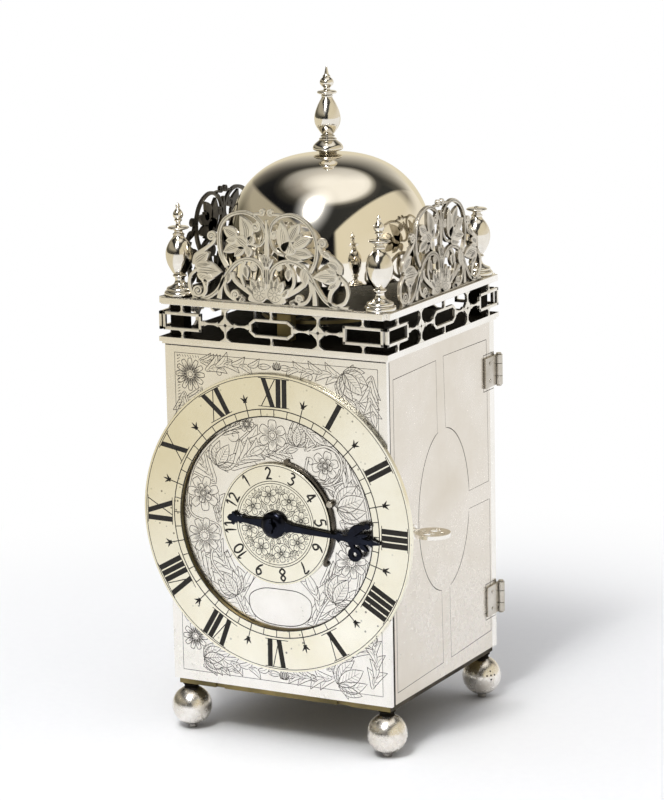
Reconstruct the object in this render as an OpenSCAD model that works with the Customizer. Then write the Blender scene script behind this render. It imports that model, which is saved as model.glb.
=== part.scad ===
// Miniature silver lantern clock with alarm: box case on ball feet, pierced gallery and crests,
// bell on top, verge and balance movement. Millimetres, +Z up, dial towards -Y, origin on the
// surface it stands on, midway between the four feet.

/* [Case] */
// Outside width of the case across the dial
case_w = 82.4; // [76:0.2:104]
// Outside depth of the case from front plate to back plate
case_d = 79.6; // [74:0.2:100]
// Height of the walls between base plate and cornice
case_h = 115; // [106:1:140]
// Thickness of the front and back plates
wall_t = 1.6; // [1.2:0.1:2.4]
// Thickness of the two side doors
door_t = 1.2; // [0.8:0.1:1.6]
// Depth of the back plate's folded side flanges
flange_d = 1.9; // [1.2:0.1:3]
// Thickness of the base plate
base_t = 2; // [1.5:0.1:4]
// How far the base plate is set back from the walls
base_inset = 1.2; // [0:0.1:2]
// Thickness of the lower cornice plate
cornice_t = 2.4; // [1.6:0.1:4]
// Overhang of the lower cornice
cornice_out = 1.35; // [0.6:0.05:2.5]
// Side of the square corner posts
post_w = 5; // [4:0.1:5.6]
// Radius of the tangs that tie feet, posts and finials together
tang_r = 1.2; // [0.8:0.05:1.6]

/* [Gallery] */
// Clear height of the open fret gallery
gallery_h = 11; // [8:0.5:16]
// Thickness of the four fret strips
strip_t = 1; // [0.6:0.1:1.4]
// Width of the bars in the fret strips
bar_w = 1; // [0.7:0.05:1.4]
// Thickness of the top plate
top_t = 2.3; // [1.6:0.1:4]
// Overhang of the top mouldings
top_out = 1.75; // [1:0.05:3]

/* [Crests] */
// Thickness of the three crest frets
crest_t = 1.2; // [0.8:0.1:1.6]
// Half of the crest's length along the plate
crest_half = 30; // [24:0.5:31]
// Height of the crest above the top plate
crest_h = 31; // [24:0.5:36]
// Setback of the crest from the plate edge
crest_inset = 0.7; // [0.4:0.1:2]

/* [Bell] */
// Outside radius of the bell at its rim
bell_r = 35.2; // [32:0.2:37]
// Height of the bell, rim to crown
bell_h = 39.2; // [36:0.2:42]
// Wall of the bell
bell_wall = 1.2; // [0.8:0.1:2]
// Gap from the top plate to the bell's rim
bell_gap = 5.3; // [5:0.1:9]
// Height of the finial above the bell
nut_h = 28.8; // [22:0.2:34]

/* [Finials and feet] */
// Height of a corner finial
finial_h = 30.8; // [24:0.2:36]
// Largest radius of a corner finial's vase
vase_r = 4.5; // [3.5:0.1:5.5]
// Radius of a finial's round base
finial_base_r = 5.2; // [4.5:0.1:5.4]
// Radius of a ball foot
ball_r = 6.75; // [5:0.05:8]
// Height of the stub under each ball
stub_h = 1; // [0.6:0.1:2]
// Height of the neck between ball and base plate
neck_h = 1.5; // [0.8:0.1:3]

/* [Dial] */
// Height of the dial centre above the case floor
dial_up = 57.8; // [55:0.2:62]
// Outside radius of the chapter ring
ring_r = 50.1; // [44:0.1:51]
// Inside radius of the chapter ring
ring_in = 35.8; // [32:0.1:38]
// Thickness of the chapter ring
ring_t = 1.6; // [1:0.1:2]
// Radius of the alarm disc
alarm_r = 20.4; // [16:0.1:22]
// Length of the hour hand from its centre
hand_len = 40; // [34:0.5:46]
// Length of the hour hand's tail
tail_len = 17.5; // [14:0.5:19]
// Direction of the hour hand, degrees from the right-hand side
hand_angle = -3.5; // [-180:0.5:180]

/* [Hinges and latches] */
// Length of a hinge
hinge_l = 10.4; // [8:0.2:14]
// Radius of a hinge knuckle
knuckle_r = 1.3; // [1.1:0.05:1.5]
// Radius of a hinge pin
pin_r = 0.5; // [0.4:0.05:0.7]
// Thickness of a hinge leaf
leaf_t = 0.8; // [0.6:0.1:0.9]
// Height of the lower hinge above the case floor
hinge_low = 17.3; // [12:0.1:30]
// Height of the upper hinge above the case floor
hinge_high = 97.5; // [80:0.1:100]
// Radius of a latch's pierced bow
bow_r = 6; // [4.5:0.1:7]
// Height of the latch above the case floor
latch_up = 56; // [40:0.5:70]

/* [Movement] */
// Half width of the movement plates
plate_half = 31; // [30:0.5:32.5]
// Thickness of the movement plates
mplate_t = 2; // [1.5:0.1:2.5]
// Distance between the two movement plates
plates_gap = 44; // [43:0.5:46]
// Setback of the front movement plate from the dial plate
motion_gap = 13.2; // [13:0.1:14]
// Module of the great wheel and the hour wheel
great_m = 0.6; // [0.6:0.01:0.6]
// Module of the centre wheel
centre_m = 0.5; // [0.5:0.01:0.5]
// Module of the third wheel
third_m = 0.45; // [0.45:0.01:0.45]
// Radius of the balance wheel
balance_r = 21; // [17:0.5:22]
// Running clearance of pivots and pins
run = 0.05; // [0.03:0.01:0.08]

/* [Hidden] */

$fn = 64;
silver = [0.86, 0.84, 0.79];
gilt = [0.88, 0.83, 0.66];
brass = [0.62, 0.52, 0.27];
steel = [0.16, 0.17, 0.21];
dark = [0.12, 0.12, 0.12];

// Heights of the stack, from the surface upwards
ball_z = stub_h + ball_r;
base_z = ball_z + ball_r + neck_h;
floor_z = base_z + base_t;
wall_top = floor_z + case_h;
gallery_z = wall_top + cornice_t;
top_z = gallery_z + gallery_h;
deck_z = top_z + top_t;

// Faces of the case
hw = case_w / 2;
hd = case_d / 2;
front_in = -hd + wall_t;
back_in = hd - wall_t;
door_in = hw - door_t;
gap = 0.3;
fit_gap = 0.1;

// Tangs of feet and finials, and how far their holes reach into the posts
tang_l = 7.5;
tang_hole = tang_l + 1;
stub_r = 1.5;
neck_r = 2.4;

// Axes of the corner posts, feet and finials
post_x = door_in - gap - post_w / 2;
post_y = hd - wall_t - post_w / 2;
corners = [[-1, -1], [1, -1], [-1, 1], [1, 1]];

// Bell
bell_rim = deck_z + bell_gap;
bell_top = bell_rim + bell_h;
bell_in = bell_r - bell_wall;

// Dial and hand, from the front plate outwards
dial_z = floor_z + dial_up;
ring_y = -hd - ring_t;
disc_t = 1.2;
disc_y = ring_y;
hour_r = 2;
pipe_r = 3.4;
boss_y = disc_y - gap;
blade_y = disc_y - 1.6;
blade_t = 1;
hand_end_y = blade_y - 3.4;
hand_bore_r = 1.3;
hand_boss_r = 3.9;
hand_pin_r = 0.35;
hand_pin_y = blade_y - 1.6;
ring_foot_r = 38;
foot_pin_r = 0.8;
stud_r = 0.6;
spring_t = 1;
stud_angle = 23;
spring_in = alarm_r + gap;
spring_w = 0.9;
eye_r = 1.3;
stud_at = spring_in + eye_r;
spring_from = -33;
spring_to = 79;

// Movement plates
fp_y0 = front_in + motion_gap;
fp_y1 = fp_y0 + mplate_t;
bp_y0 = fp_y1 + plates_gap;
bp_y1 = bp_y0 + mplate_t;
pillar_x = plate_half - 3;
pillar_r = 2.2;
pillar_end_r = 1.25;
screw_r = 1;
screw_head_t = 1.2;

// Train: teeth, and centres worked out from the modules
great_n = 56;
centre_n = 64;
third_n = 72;
hour_n = 72;
leaves = 8;
report_n = 6;
report_angle = -55;
c_hour = (hour_n + report_n) * great_m / 2;
c_great = (great_n + leaves) * great_m / 2;
c_centre = (centre_n + leaves) * centre_m / 2;
c_third = (third_n + leaves) * third_m / 2;
centre_x = c_hour * cos(report_angle);
centre_z = dial_z + c_hour * sin(report_angle);
great_z = centre_z - c_great;
third_z = centre_z + c_centre;
crown_z = third_z + sqrt(c_third * c_third - centre_x * centre_x);
to_crown = atan2(crown_z - third_z, -centre_x);
arbor_r = 0.8;
pivot_hole = arbor_r + run;

// Places of the wheels along their arbors, from the two plates
great_y = fp_y1 + 31;
great_t = 2;
drum_l = 20;
drum_r = 13.5;
drum_wall = 1;
centre_y = fp_y1 + 7;
third_y = bp_y0 - 7;
wheel_t = 1;
hour_y = fp_y0 - 4;
going_arbor_r = 1.5;

// Crown wheel and verge
crown_r = 11;
crown_band = 1;
crown_n = 35;
crown_y = fp_y1 + 25;
crown_tip_y = crown_y - 5;
verge_y = crown_tip_y - 1.6;
staff_r = 0.7;
verge_hole_r = 1.2;
verge_foot_z = crown_z - 16;
pallet_l = 1.4;
balance_z = gallery_z + 4.6;
balance_t = 1.2;
cock_z = balance_z + 3.2;
cock_y = verge_y - balance_r - 3.5;

// Alarm train, its crown teeth facing the dial
alarm_x = -20;
alarm_z = floor_z + 32;
alarm_drum_r = 9.2;
alarm_drum_l = 24;
alarm_crown_r = 10.5;
alarm_teeth = 15;
alarm_tip_y = fp_y1 + 9;
alarm_disc_y = alarm_tip_y + 5;
alarm_arm_y = alarm_disc_y - 3;
alarm_arm_t = 1.8;
staff_y = alarm_tip_y - 2;
alarm_foot_z = alarm_z - 15;
foot_depth = 1.5;
hammer_z = bell_rim + 3;
hammer_rest = 69;
hammer_swing = 15;
hammer_head_r = 2.6;
strike = hammer_rest + hammer_swing;
staff_off = norm([alarm_x, staff_y]);
hammer_l = staff_off * cos(strike)
    + sqrt(pow(bell_in - hammer_head_r - 0.35, 2) - pow(staff_off * sin(strike), 2));
hammer_turn = atan2(-staff_y, -alarm_x) - hammer_rest;
lever_x = -17;
lever_z = dial_z + 17.2;
lever_y = fp_y0 - 8.8;
cam_r = 7;
cam_t = 1.2;

// Ratchets and clicks behind the back movement plate
ratchet_n = 12;
ratchet_tip = 5;
ratchet_root = 4.2;
ratchet_y = bp_y1 + 0.4;
ratchet_t = 1.2;
click_x = -6.5;
click_z = 6.5;
click_r = 0.8;
square_w = 2;
square_y = hd - 1.2;
key_hole_r = 3.4;

// Hinge axis, outside the back corner
hinge_x = hw + leaf_t + 0.3;
hinge_y = hd + 1.4;
leaf_end = hinge_y - 1.6;

// Latch
latch_y = -hd + 14.3;
latch_z = floor_z + latch_up;
latch_r = 1.2;
collar_r = 2.4;
collar_out = 1.9;
bow_t = 1.3;
latch_cam_w = 3.2;
latch_cam_l = 9.5;
cam_x = post_x - post_w / 2 - 1.5;

// Box between two corners
module block(a, b) { translate(a) cube(b - a); }

// Round bars along Y, Z and X
module bar_y(x, z, y0, y1, r) { translate([x, y1, z]) rotate([90, 0, 0]) cylinder(h = y1 - y0, r = r); }
module bar_z(x, y, z0, z1, r) { translate([x, y, z0]) cylinder(h = z1 - z0, r = r); }
module bar_x(y, z, x0, x1, r) { translate([x0, y, z]) rotate([0, 90, 0]) cylinder(h = x1 - x0, r = r); }

// Flat shape drawn as seen from the front, standing at depth y0 to y1
module slab_y(x, z, y0, y1) {
    translate([x, y1, z]) rotate([90, 0, 0]) linear_extrude(y1 - y0) children();
}

// Involute tooth flank: half angle of the tooth at radius r, in degrees
pressure = 30;
addendum = 0.65;
dedendum = 0.95;
slack = 0.15;
function inv(a) = tan(a) - a * PI / 180;
function half_tooth(n, m, r) =
    let (rp = n * m / 2, rb = rp * cos(pressure), a = r > rb ? acos(rb / r) : 0)
    ((PI / 2 - slack) * m / (2 * rp) + inv(pressure) - inv(a)) * 180 / PI;

// Toothed outline with n teeth, the first one centred at angle turn
module gear_outline(n, m, turn) {
    rp = n * m / 2;
    radii = [rp - dedendum * m, rp - 0.45 * m, rp, rp + addendum * m];
    polygon([for (i = [0 : n - 1], s = [-1, 1], k = [0 : 3])
        let (r = s < 0 ? radii[k] : radii[3 - k], a = turn + i * 360 / n + s * half_tooth(n, m, r))
        r * [cos(a), sin(a)]]);
}

// Turn of a wheel that meshes with one of n1 teeth turned by turn1, in direction dir
function mesh_turn(dir, n1, turn1, n2) =
    let (p = (dir - turn1) * n1 / 360) dir + 180 - (0.5 - (p - floor(p))) * 360 / n2;

centre_pinion_turn = mesh_turn(90, great_n, 0, leaves);
third_pinion_turn = mesh_turn(90, centre_n, 0, leaves);
crown_pinion_turn = mesh_turn(to_crown, third_n, 0, leaves);
report_turn = mesh_turn(report_angle, hour_n, 0, report_n);

// Four openings that leave a rim, a hub and four arms
module crossings(r_rim, r_hub, arm) {
    difference() {
        circle(r = r_rim);
        circle(r = r_hub);
        for (a = [0, 90]) rotate(a) square([2 * r_rim + 1, arm], center = true);
    }
}

// Toothed wheel with four crossings
module wheel_outline(n, m, turn) {
    difference() {
        gear_outline(n, m, turn);
        rotate(45) crossings(n * m / 2 - 2.4, 4, 1.6);
    }
}

// Points of an arc, for outlines
function arc(x, y, r, a0, a1, steps) =
    [for (i = [0 : steps]) let (a = a0 + (a1 - a0) * i / steps) [x + r * cos(a), y + r * sin(a)]];

// Curved bar of width w along an arc
module arc_bar(x, y, r, a0, a1, w, step = 18) {
    n = max(4, round(abs(a1 - a0) / step));
    polygon(concat(arc(x, y, r + w / 2, a0, a1, n), arc(x, y, r - w / 2, a1, a0, n)));
}

// Case: the base plate has two notches in its front edge, between these ends
notches = [[-26, -22.6], [20.2, 25]];
notch_d = 0.8;
module base_plate() color(brass) difference() {
    block([-hw + base_inset, -hd + base_inset, base_z], [hw - base_inset, hd - base_inset, floor_z]);
    for (c = corners) bar_z(c[0] * post_x, c[1] * post_y, base_z - 1, floor_z + 1, tang_r + run);
    for (n = notches)
        block([n[0], -hd, base_z - 1], [n[1], -hd + base_inset + notch_d, floor_z + 1]);
}

module front_plate() color(silver) difference() {
    block([-hw, -hd, floor_z], [hw, front_in, wall_top]);
    bar_y(0, dial_z, -hd - 1, front_in + 1, pipe_r + run);
    for (a = [45 : 90 : 315])
        bar_y(ring_foot_r * cos(a), dial_z + ring_foot_r * sin(a), -hd - 1, front_in + 1, foot_pin_r + run);
    stud_place() bar_y(0, 0, -hd - 1, front_in + 1, stud_r);
}

module back_plate() color(silver) difference() {
    union() {
        block([-hw, back_in, floor_z], [hw, hd, wall_top]);
        for (s = [-1, 1]) {
            x = s > 0 ? door_in : -hw;
            block([x, back_in - flange_d, floor_z], [x + door_t, back_in + 0.1, wall_top]);
        }
    }
    bar_y(centre_x, great_z, back_in - 1, hd + 1, key_hole_r);
    bar_y(alarm_x, alarm_z, back_in - 1, hd + 1, key_hole_r);
}

module case_posts() color(brass) for (c = corners) difference() {
    translate([c[0] * post_x - post_w / 2, c[1] * post_y - post_w / 2, floor_z])
        cube([post_w, post_w, case_h]);
    bar_z(c[0] * post_x, c[1] * post_y, floor_z - 1, floor_z + tang_hole, tang_r + run);
    bar_z(c[0] * post_x, c[1] * post_y, wall_top - tang_hole, wall_top + 1, tang_r + run);
}

module lower_cornice() color(silver) difference() {
    o = cornice_out;
    union() {
        block([-hw - o, -hd - o, wall_top + cornice_t / 3], [hw + o, hd + o, gallery_z]);
        block([-hw - o / 2, -hd - o / 2, wall_top], [hw + o / 2, hd + o / 2, gallery_z - 0.1]);
    }
    for (c = corners) bar_z(c[0] * post_x, c[1] * post_y, wall_top - 1, gallery_z + 1, tang_r + run);
    bar_z(0, verge_y, wall_top - 1, gallery_z + 1, verge_hole_r);
    bar_z(alarm_x, staff_y, wall_top - 1, gallery_z + 1, staff_r + run);
}

module gallery_posts() color(dark) for (c = corners) difference() {
    translate([c[0] * post_x - post_w / 2, c[1] * post_y - post_w / 2, gallery_z])
        cube([post_w, post_w, gallery_h]);
    bar_z(c[0] * post_x, c[1] * post_y, gallery_z - 1, top_z + 1, tang_r + run);
}

// Fretwork with its inner corners eased by the file
fret_ease = 0.05;
module eased() offset(delta = -fret_ease) offset(delta = fret_ease) children();

// Gallery fret: box, cross, long link, cross, box, joined to the plates by short pegs
box_w = 14.6;
box_h = 5.6;
link_w = 15.6;
link_h = 4.6;
link_cut = 1.3;
cross_at = 17.5;
lobe_at = 1.5;
lobe_r = 1.1;
lobe_hole_r = 0.75;
box_at = 33.6;
module open_box(x, w, h) {
    translate([x, 0]) difference() {
        square([w, h], center = true);
        square([w - 2 * bar_w, h - 2 * bar_w], center = true);
    }
}
module long_link() {
    module shape(d) {
        x = link_w / 2 - d;
        y = link_h / 2 - d * 0.9;
        c = link_cut;
        polygon([[-x, -y + c], [-x, y - c], [-x + c, y], [x - c, y], [x, y - c], [x, -y + c],
            [x - c, -y], [-x + c, -y]]);
    }
    difference() { shape(0); shape(bar_w); }
}
module tie(x0, x1) translate([x0, -bar_w / 2]) square([x1 - x0, bar_w]);
module peg(x, from) {
    l = gallery_h / 2 - from;
    for (s = [0, 1]) mirror([0, s]) {
        translate([x - bar_w / 2, from - bar_w / 2]) square([bar_w, l + bar_w / 2]);
        translate([x, from]) circle(r = bar_w);
        translate([x, gallery_h / 2]) intersection() {
            circle(r = bar_w * 1.3);
            translate([-3, -3]) square([6, 3]);
        }
    }
}
module strip_outline() {
    for (s = [0, 1]) mirror([s, 0]) {
        open_box(box_at, box_w, box_h);
        translate([cross_at, 0]) difference() {
            union() {
                for (a = [0 : 90 : 270]) rotate(a) translate([lobe_at, 0]) circle(r = lobe_r);
                square(2 * (lobe_at - 0.2), center = true);
            }
            circle(r = lobe_hole_r);
        }
        tie(cross_at + 1.2, box_at - box_w / 2 + bar_w / 2);
        tie(link_w / 2 - bar_w / 2, cross_at - 1.2);
        peg(cross_at, 2);
        peg(box_at, box_h / 2 - bar_w / 2);
    }
    long_link();
    peg(0, link_h / 2 - bar_w / 2);
}
module gallery_strip() {
    color(silver) translate([0, 0, gallery_z + gallery_h / 2]) slab_y(0, 0, 0, strip_t)
        eased() strip_outline($fn = 20);
}
module front_gallery_strip() translate([0, -hd - cornice_out, 0]) gallery_strip();
module back_gallery_strip() translate([0, hd + cornice_out - strip_t, 0]) gallery_strip();
module right_gallery_strip() translate([hw + cornice_out, 0, 0]) rotate([0, 0, 90]) gallery_strip();
module left_gallery_strip() translate([-hw - cornice_out, 0, 0]) rotate([0, 0, -90]) gallery_strip();

module top_plate() color(dark) difference() {
    block([-hw, -hd, top_z], [hw, hd, deck_z]);
    for (c = corners) bar_z(c[0] * post_x, c[1] * post_y, top_z - 1, deck_z + 1, tang_r + run);
    bar_z(alarm_x, staff_y, top_z - 1, deck_z + 1, staff_r + run);
    bar_z(0, 0, top_z - 1, deck_z + 1, tang_r + run);
}
module top_mouldings() color(silver) {
    for (s = [-1, 1]) {
        y = s > 0 ? hd : -hd - top_out;
        x = s > 0 ? hw : -hw - top_out;
        block([-hw, y, top_z], [hw, y + top_out, deck_z]);
        block([x, -hd, top_z], [x + top_out, hd, deck_z]);
    }
}

// Crest fret: two flower rings, two lower scrolls, a stem with its crown, a leafy foot
crest_bar = 1.5;
module crest_outline() {
    k = crest_half / 30;
    w = crest_bar;
    ring_x = 10.4 * k;
    ring_z = 17 * crest_h / 31;
    low_x = 21.8 * k;
    low_z = 8.5;
    for (s = [0, 1]) mirror([s, 0]) {
        arc_bar(ring_x, ring_z, 9.6, 0, 360, w);
        arc_bar(low_x, low_z, 7, -70, 250, w);
        arc_bar(22.2 * k, 21.4, 2.2, -150, 120, w);
        translate([ring_x, ring_z + 1]) circle(r = 3.6);
        for (a = [-125 : 35 : 50]) translate([ring_x, ring_z]) rotate(a) translate([5.2, 0]) circle(r = 2.2);
        translate([low_x, low_z]) circle(r = 3.2);
        for (a = [30, 90, 150]) translate([low_x, low_z]) rotate(a) translate([3.4, 0]) circle(r = 1.9);
        translate([low_x - w / 2, 0]) square([w, 3]);
        translate([3.2, crest_h - 3.2]) arc_bar(0, 0, 2.4, -90, 180, w);
        arc_bar(5.2, 8.2, 3.4, -180, 90, w);
        translate([4.5, 2.6]) circle(r = 3);
        translate([9.5, 2.2]) circle(r = 2.4);
        translate([13.6, 1.9]) circle(r = 1.9);
        translate([crest_half - 3, 1.6]) circle(r = 1.6);
    }
    translate([-0.9, 0]) square([1.8, crest_h - 4]);
    translate([-15, 0]) square([30, 2]);
    translate([0, crest_h - 1.8]) circle(r = 1.8);
    translate([0, crest_h * 0.47]) circle(r = 2.4);
    translate([-crest_half, 0]) square([2 * crest_half, 1]);
}
module crest() {
    color(silver) translate([0, 0, deck_z]) slab_y(0, 0, 0, crest_t)
        eased() intersection() { crest_outline($fn = 16); translate([-40, 0]) square([80, crest_h]); }
}
crest_y = hd + top_out - crest_inset;
crest_x = hw + top_out - crest_inset;
module front_crest() translate([0, -crest_y, 0]) crest();
module right_crest() translate([crest_x, 0, 0]) rotate([0, 0, 90]) crest();
module left_crest() translate([-crest_x, 0, 0]) rotate([0, 0, -90]) crest();

// Turned finial: profile as radius and height, tip left off where it is broken away
finial_drawn = 30.8;
module finial_body(h, base, vase, whole) {
    k = h / finial_drawn;
    low = [[0, 0], [base, 0], [base, 1.2 * k], [base - 0.9, 1.9 * k], [base - 0.9, 2.5 * k],
        [base - 2, 3.4 * k], [1.9, 4 * k], [1.6, 4.6 * k], [1.6, 6.2 * k], [2, 6.6 * k]];
    body = [for (i = [1 : 9]) let (t = i / 10)
        [1.75 + (vase - 1.75) * pow(sin(180 * pow(t, 0.85)), 0.75), (6.6 + 13.2 * t) * k]];
    neck = [[1.9, 20 * k], [1.5, 20.6 * k], [1.5, 21.7 * k], [3.3, 22.2 * k], [3.5, 22.6 * k], [3.2, 23 * k]];
    tip = [[1, 23.4 * k], [0.8, 24.4 * k], [0.8, 25 * k], [1.5, 25.7 * k], [1.75, 26.8 * k],
        [1.5, 27.9 * k], [0.8, 28.8 * k], [0.6, 29.4 * k], [0.4, h], [0, h]];
    flat = [[0.9, 23.1 * k], [0, 23.1 * k]];
    rotate_extrude() polygon(concat(low, body, neck, whole ? tip : flat));
}
module corner_finial(c, whole) color(silver) translate([c[0] * post_x, c[1] * post_y, deck_z]) {
    finial_body(finial_h, finial_base_r, vase_r, whole);
    reach = top_t + gallery_h + cornice_t + tang_l;
    translate([0, 0, -reach]) cylinder(h = reach + 0.1, r = tang_r);
}
module front_left_finial() corner_finial(corners[0], true);
module front_right_finial() corner_finial(corners[1], true);
module back_left_finial() corner_finial(corners[2], true);
module back_right_finial() corner_finial(corners[3], false);

bell_power = 2.5;
module bell_solid(r, h, low) translate([0, 0, bell_rim]) rotate_extrude() polygon(concat(
    [[0, low], [r, low]],
    [for (i = [1 : 24]) let (a = 90 * i / 24) [r * pow(cos(a), 2 / bell_power), h * pow(sin(a), 2 / bell_power)]]));
module bell() color(silver) difference() {
    bell_solid(bell_r, bell_h, 0);
    bell_solid(bell_in, bell_h - bell_wall, -1);
    bar_z(0, 0, bell_top - 5, bell_top + 1, tang_r + run);
}
thread_l = 6;
bell_post_r = 2.2;
bell_foot_r = 6;
bell_foot_t = 1.6;
module bell_post() color(steel) {
    bar_z(0, 0, deck_z, deck_z + bell_foot_t, bell_foot_r);
    bar_z(0, 0, deck_z, bell_top - bell_wall - 0.25, bell_post_r);
    bar_z(0, 0, bell_top - bell_wall - 1, bell_top + thread_l, tang_r);
    bar_z(0, 0, top_z - 1, deck_z + 1, tang_r);
}
nut_drawn = 28.8;
module bell_nut() color(silver) difference() {
    k = nut_h / nut_drawn;
    translate([0, 0, bell_top]) rotate_extrude() polygon(concat(
        [[0, 0], [3.6, 0], [4.6, 0.5 * k], [5, 1.3 * k], [4.7, 2.2 * k], [3.6, 3 * k], [2.6, 3.4 * k],
            [1.9, 4 * k], [1.8, 4.9 * k], [2.3, 5.4 * k]],
        [for (i = [1 : 11]) let (t = i / 12)
            [1.6 + (4.35 - 1.6) * pow(sin(180 * pow(t, 0.88)), 0.8), (5.4 + 13.4 * t) * k]],
        [[1.7, 18.9 * k], [1.6, 19.4 * k], [3, 19.7 * k], [3.25, 20.2 * k], [3, 20.6 * k],
            [1.2, 21 * k], [1.1, 21.8 * k], [2, 22.5 * k], [2.35, 23.5 * k], [2, 24.6 * k], [1.1, 25.4 * k],
            [0.8, 26.4 * k], [0.3, nut_h], [0, nut_h]]));
    bar_z(0, 0, bell_top - 1, bell_top + thread_l + 0.5, tang_r + run);
}

module ball_feet() color(silver) for (c = corners) translate([c[0] * post_x, c[1] * post_y, 0]) {
    translate([0, 0, ball_z]) sphere(r = ball_r);
    cylinder(h = ball_r, r = stub_r);
    translate([0, 0, ball_z]) cylinder(h = base_z - ball_z, r = neck_r);
    translate([0, 0, ball_z]) cylinder(h = floor_z + tang_l - ball_z, r = tang_r);
}

// Doors, hinges and latches, drawn for the right side and mirrored for the left
module door_shape() difference() {
    block([door_in, front_in + fit_gap, floor_z + fit_gap * 1.5],
        [hw, back_in - flange_d - fit_gap, wall_top - fit_gap * 1.5]);
    bar_x(latch_y, latch_z, door_in - 1, hw + 1, latch_r + run);
}
hinge_zs = [floor_z + hinge_low, floor_z + hinge_high];
middle = hinge_l / 5;
leaf_w = 8;
rivet_r = 0.6;
rivet_in = 4.4;
rivet_z = 3;
head_t = 0.5;
module door_leaves_shape() for (z = hinge_zs) difference() {
    union() {
        block([hw, leaf_end - leaf_w, z - hinge_l / 2], [hw + leaf_t, leaf_end, z + hinge_l / 2]);
        block([hw, leaf_end - 1, z - middle], [hw + leaf_t, hinge_y, z + middle]);
        bar_z(hinge_x, hinge_y, z - middle, z + middle, knuckle_r);
        for (s = [-1, 1]) bar_x(leaf_end - rivet_in, z + s * rivet_z, hw, hw + leaf_t + 0.2, rivet_r);
    }
    bar_z(hinge_x, hinge_y, z - hinge_l, z + hinge_l, pin_r + run);
}
module case_leaves_shape() for (z = hinge_zs) difference() {
    union() {
        block([hw - leaf_w, hd, z - hinge_l / 2], [hw - 0.2, hd + leaf_t, z + hinge_l / 2]);
        for (s = [-1, 1]) {
            z0 = s > 0 ? z + middle + 0.15 : z - hinge_l / 2;
            z1 = s > 0 ? z + hinge_l / 2 : z - middle - 0.15;
            block([hw - 1, hd, z0], [hinge_x, hd + leaf_t, z1]);
            bar_z(hinge_x, hinge_y, z0, z1, knuckle_r);
            bar_y(hw - rivet_in, z + s * rivet_z, hd, hd + leaf_t + 0.2, rivet_r);
        }
    }
    bar_z(hinge_x, hinge_y, z - hinge_l, z + hinge_l, pin_r + run);
}
module hinge_pins_shape() for (z = hinge_zs) {
    bar_z(hinge_x, hinge_y, z - hinge_l / 2 - 0.3, z + hinge_l / 2 + 0.3, pin_r);
    for (s = [-1, 1]) translate([hinge_x, hinge_y, z + s * (hinge_l / 2 + 0.3)])
        cylinder(h = head_t, r = pin_r + 0.4, center = true);
}
module latch_shape() {
    bar_x(latch_y, latch_z, cam_x, hw + collar_out + 1.5, latch_r);
    bar_x(latch_y, latch_z, hw + 0.1, hw + collar_out, collar_r);
    translate([hw + collar_out + 0.5 + bow_r, latch_y, latch_z]) difference() {
        cylinder(h = bow_t, r = bow_r, center = true);
        for (s = [-1, 1]) {
            translate([0, s * 2.45, 0]) cylinder(h = bow_t + 1, r = 1.9, center = true);
            translate([s * 3.3, 0, 0]) cylinder(h = bow_t + 1, r = 1, center = true);
        }
    }
    block([cam_x, latch_y - latch_cam_w / 2, latch_z - latch_cam_w / 2],
        [cam_x + 1, latch_y + latch_cam_w / 2, latch_z + latch_cam_l]);
}
module right_door() color(silver) door_shape();
module left_door() color(silver) mirror([1, 0, 0]) door_shape();
module right_door_leaves() color(silver) door_leaves_shape();
module left_door_leaves() color(silver) mirror([1, 0, 0]) door_leaves_shape();
module right_latch() color(silver) latch_shape();
module left_latch() color(silver) mirror([1, 0, 0]) latch_shape();
module case_hinge_leaves() color(silver) for (s = [0, 1]) mirror([s, 0, 0]) case_leaves_shape();
module hinge_pins() color(silver) for (s = [0, 1]) mirror([s, 0, 0]) hinge_pins_shape();

// Dial, alarm disc and hand
module chapter_ring() color(gilt) {
    slab_y(0, dial_z, ring_y, -hd) difference() { circle(r = ring_r, $fn = 120); circle(r = ring_in); }
    for (a = [45 : 90 : 315])
        bar_y(ring_foot_r * cos(a), dial_z + ring_foot_r * sin(a), ring_y + 1, front_in + 0.6, foot_pin_r);
}
module alarm_disc() color(gilt) difference() {
    union() {
        bar_y(0, dial_z, disc_y, disc_y + disc_t, alarm_r);
        bar_y(0, dial_z, disc_y, lever_y + cam_t, pipe_r);
        slab_y(0, dial_z, lever_y, lever_y + cam_t) difference() {
            circle(r = cam_r);
            rotate(100) translate([cam_r - 1.2, -1.5]) square([4, 3]);
        }
    }
    bar_y(0, dial_z, disc_y - 1, lever_y + cam_t + 1, hour_r + run);
}
module stud_place() {
    translate([stud_at * cos(stud_angle), 0, dial_z + stud_at * sin(stud_angle)]) children();
}
module alarm_spring() color(steel) difference() {
    slab_y(0, dial_z, -hd - spring_t, -hd) union() {
        arc_bar(0, 0, spring_in + spring_w / 2, spring_from, spring_to, spring_w, 6);
        rotate(stud_angle) translate([stud_at, 0]) circle(r = eye_r);
        for (a = [spring_from, spring_to]) rotate(a) translate([spring_in + spring_w, 0]) circle(r = 0.9);
    }
    stud_place() bar_y(0, 0, -hd - 2, -hd + 1, stud_r);
}
module alarm_stud() color(silver) stud_place() {
    bar_y(0, 0, -hd - spring_t - 0.8, -hd - spring_t, eye_r - 0.2);
    bar_y(0, 0, -hd - spring_t - 0.2, front_in, stud_r);
}
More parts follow.
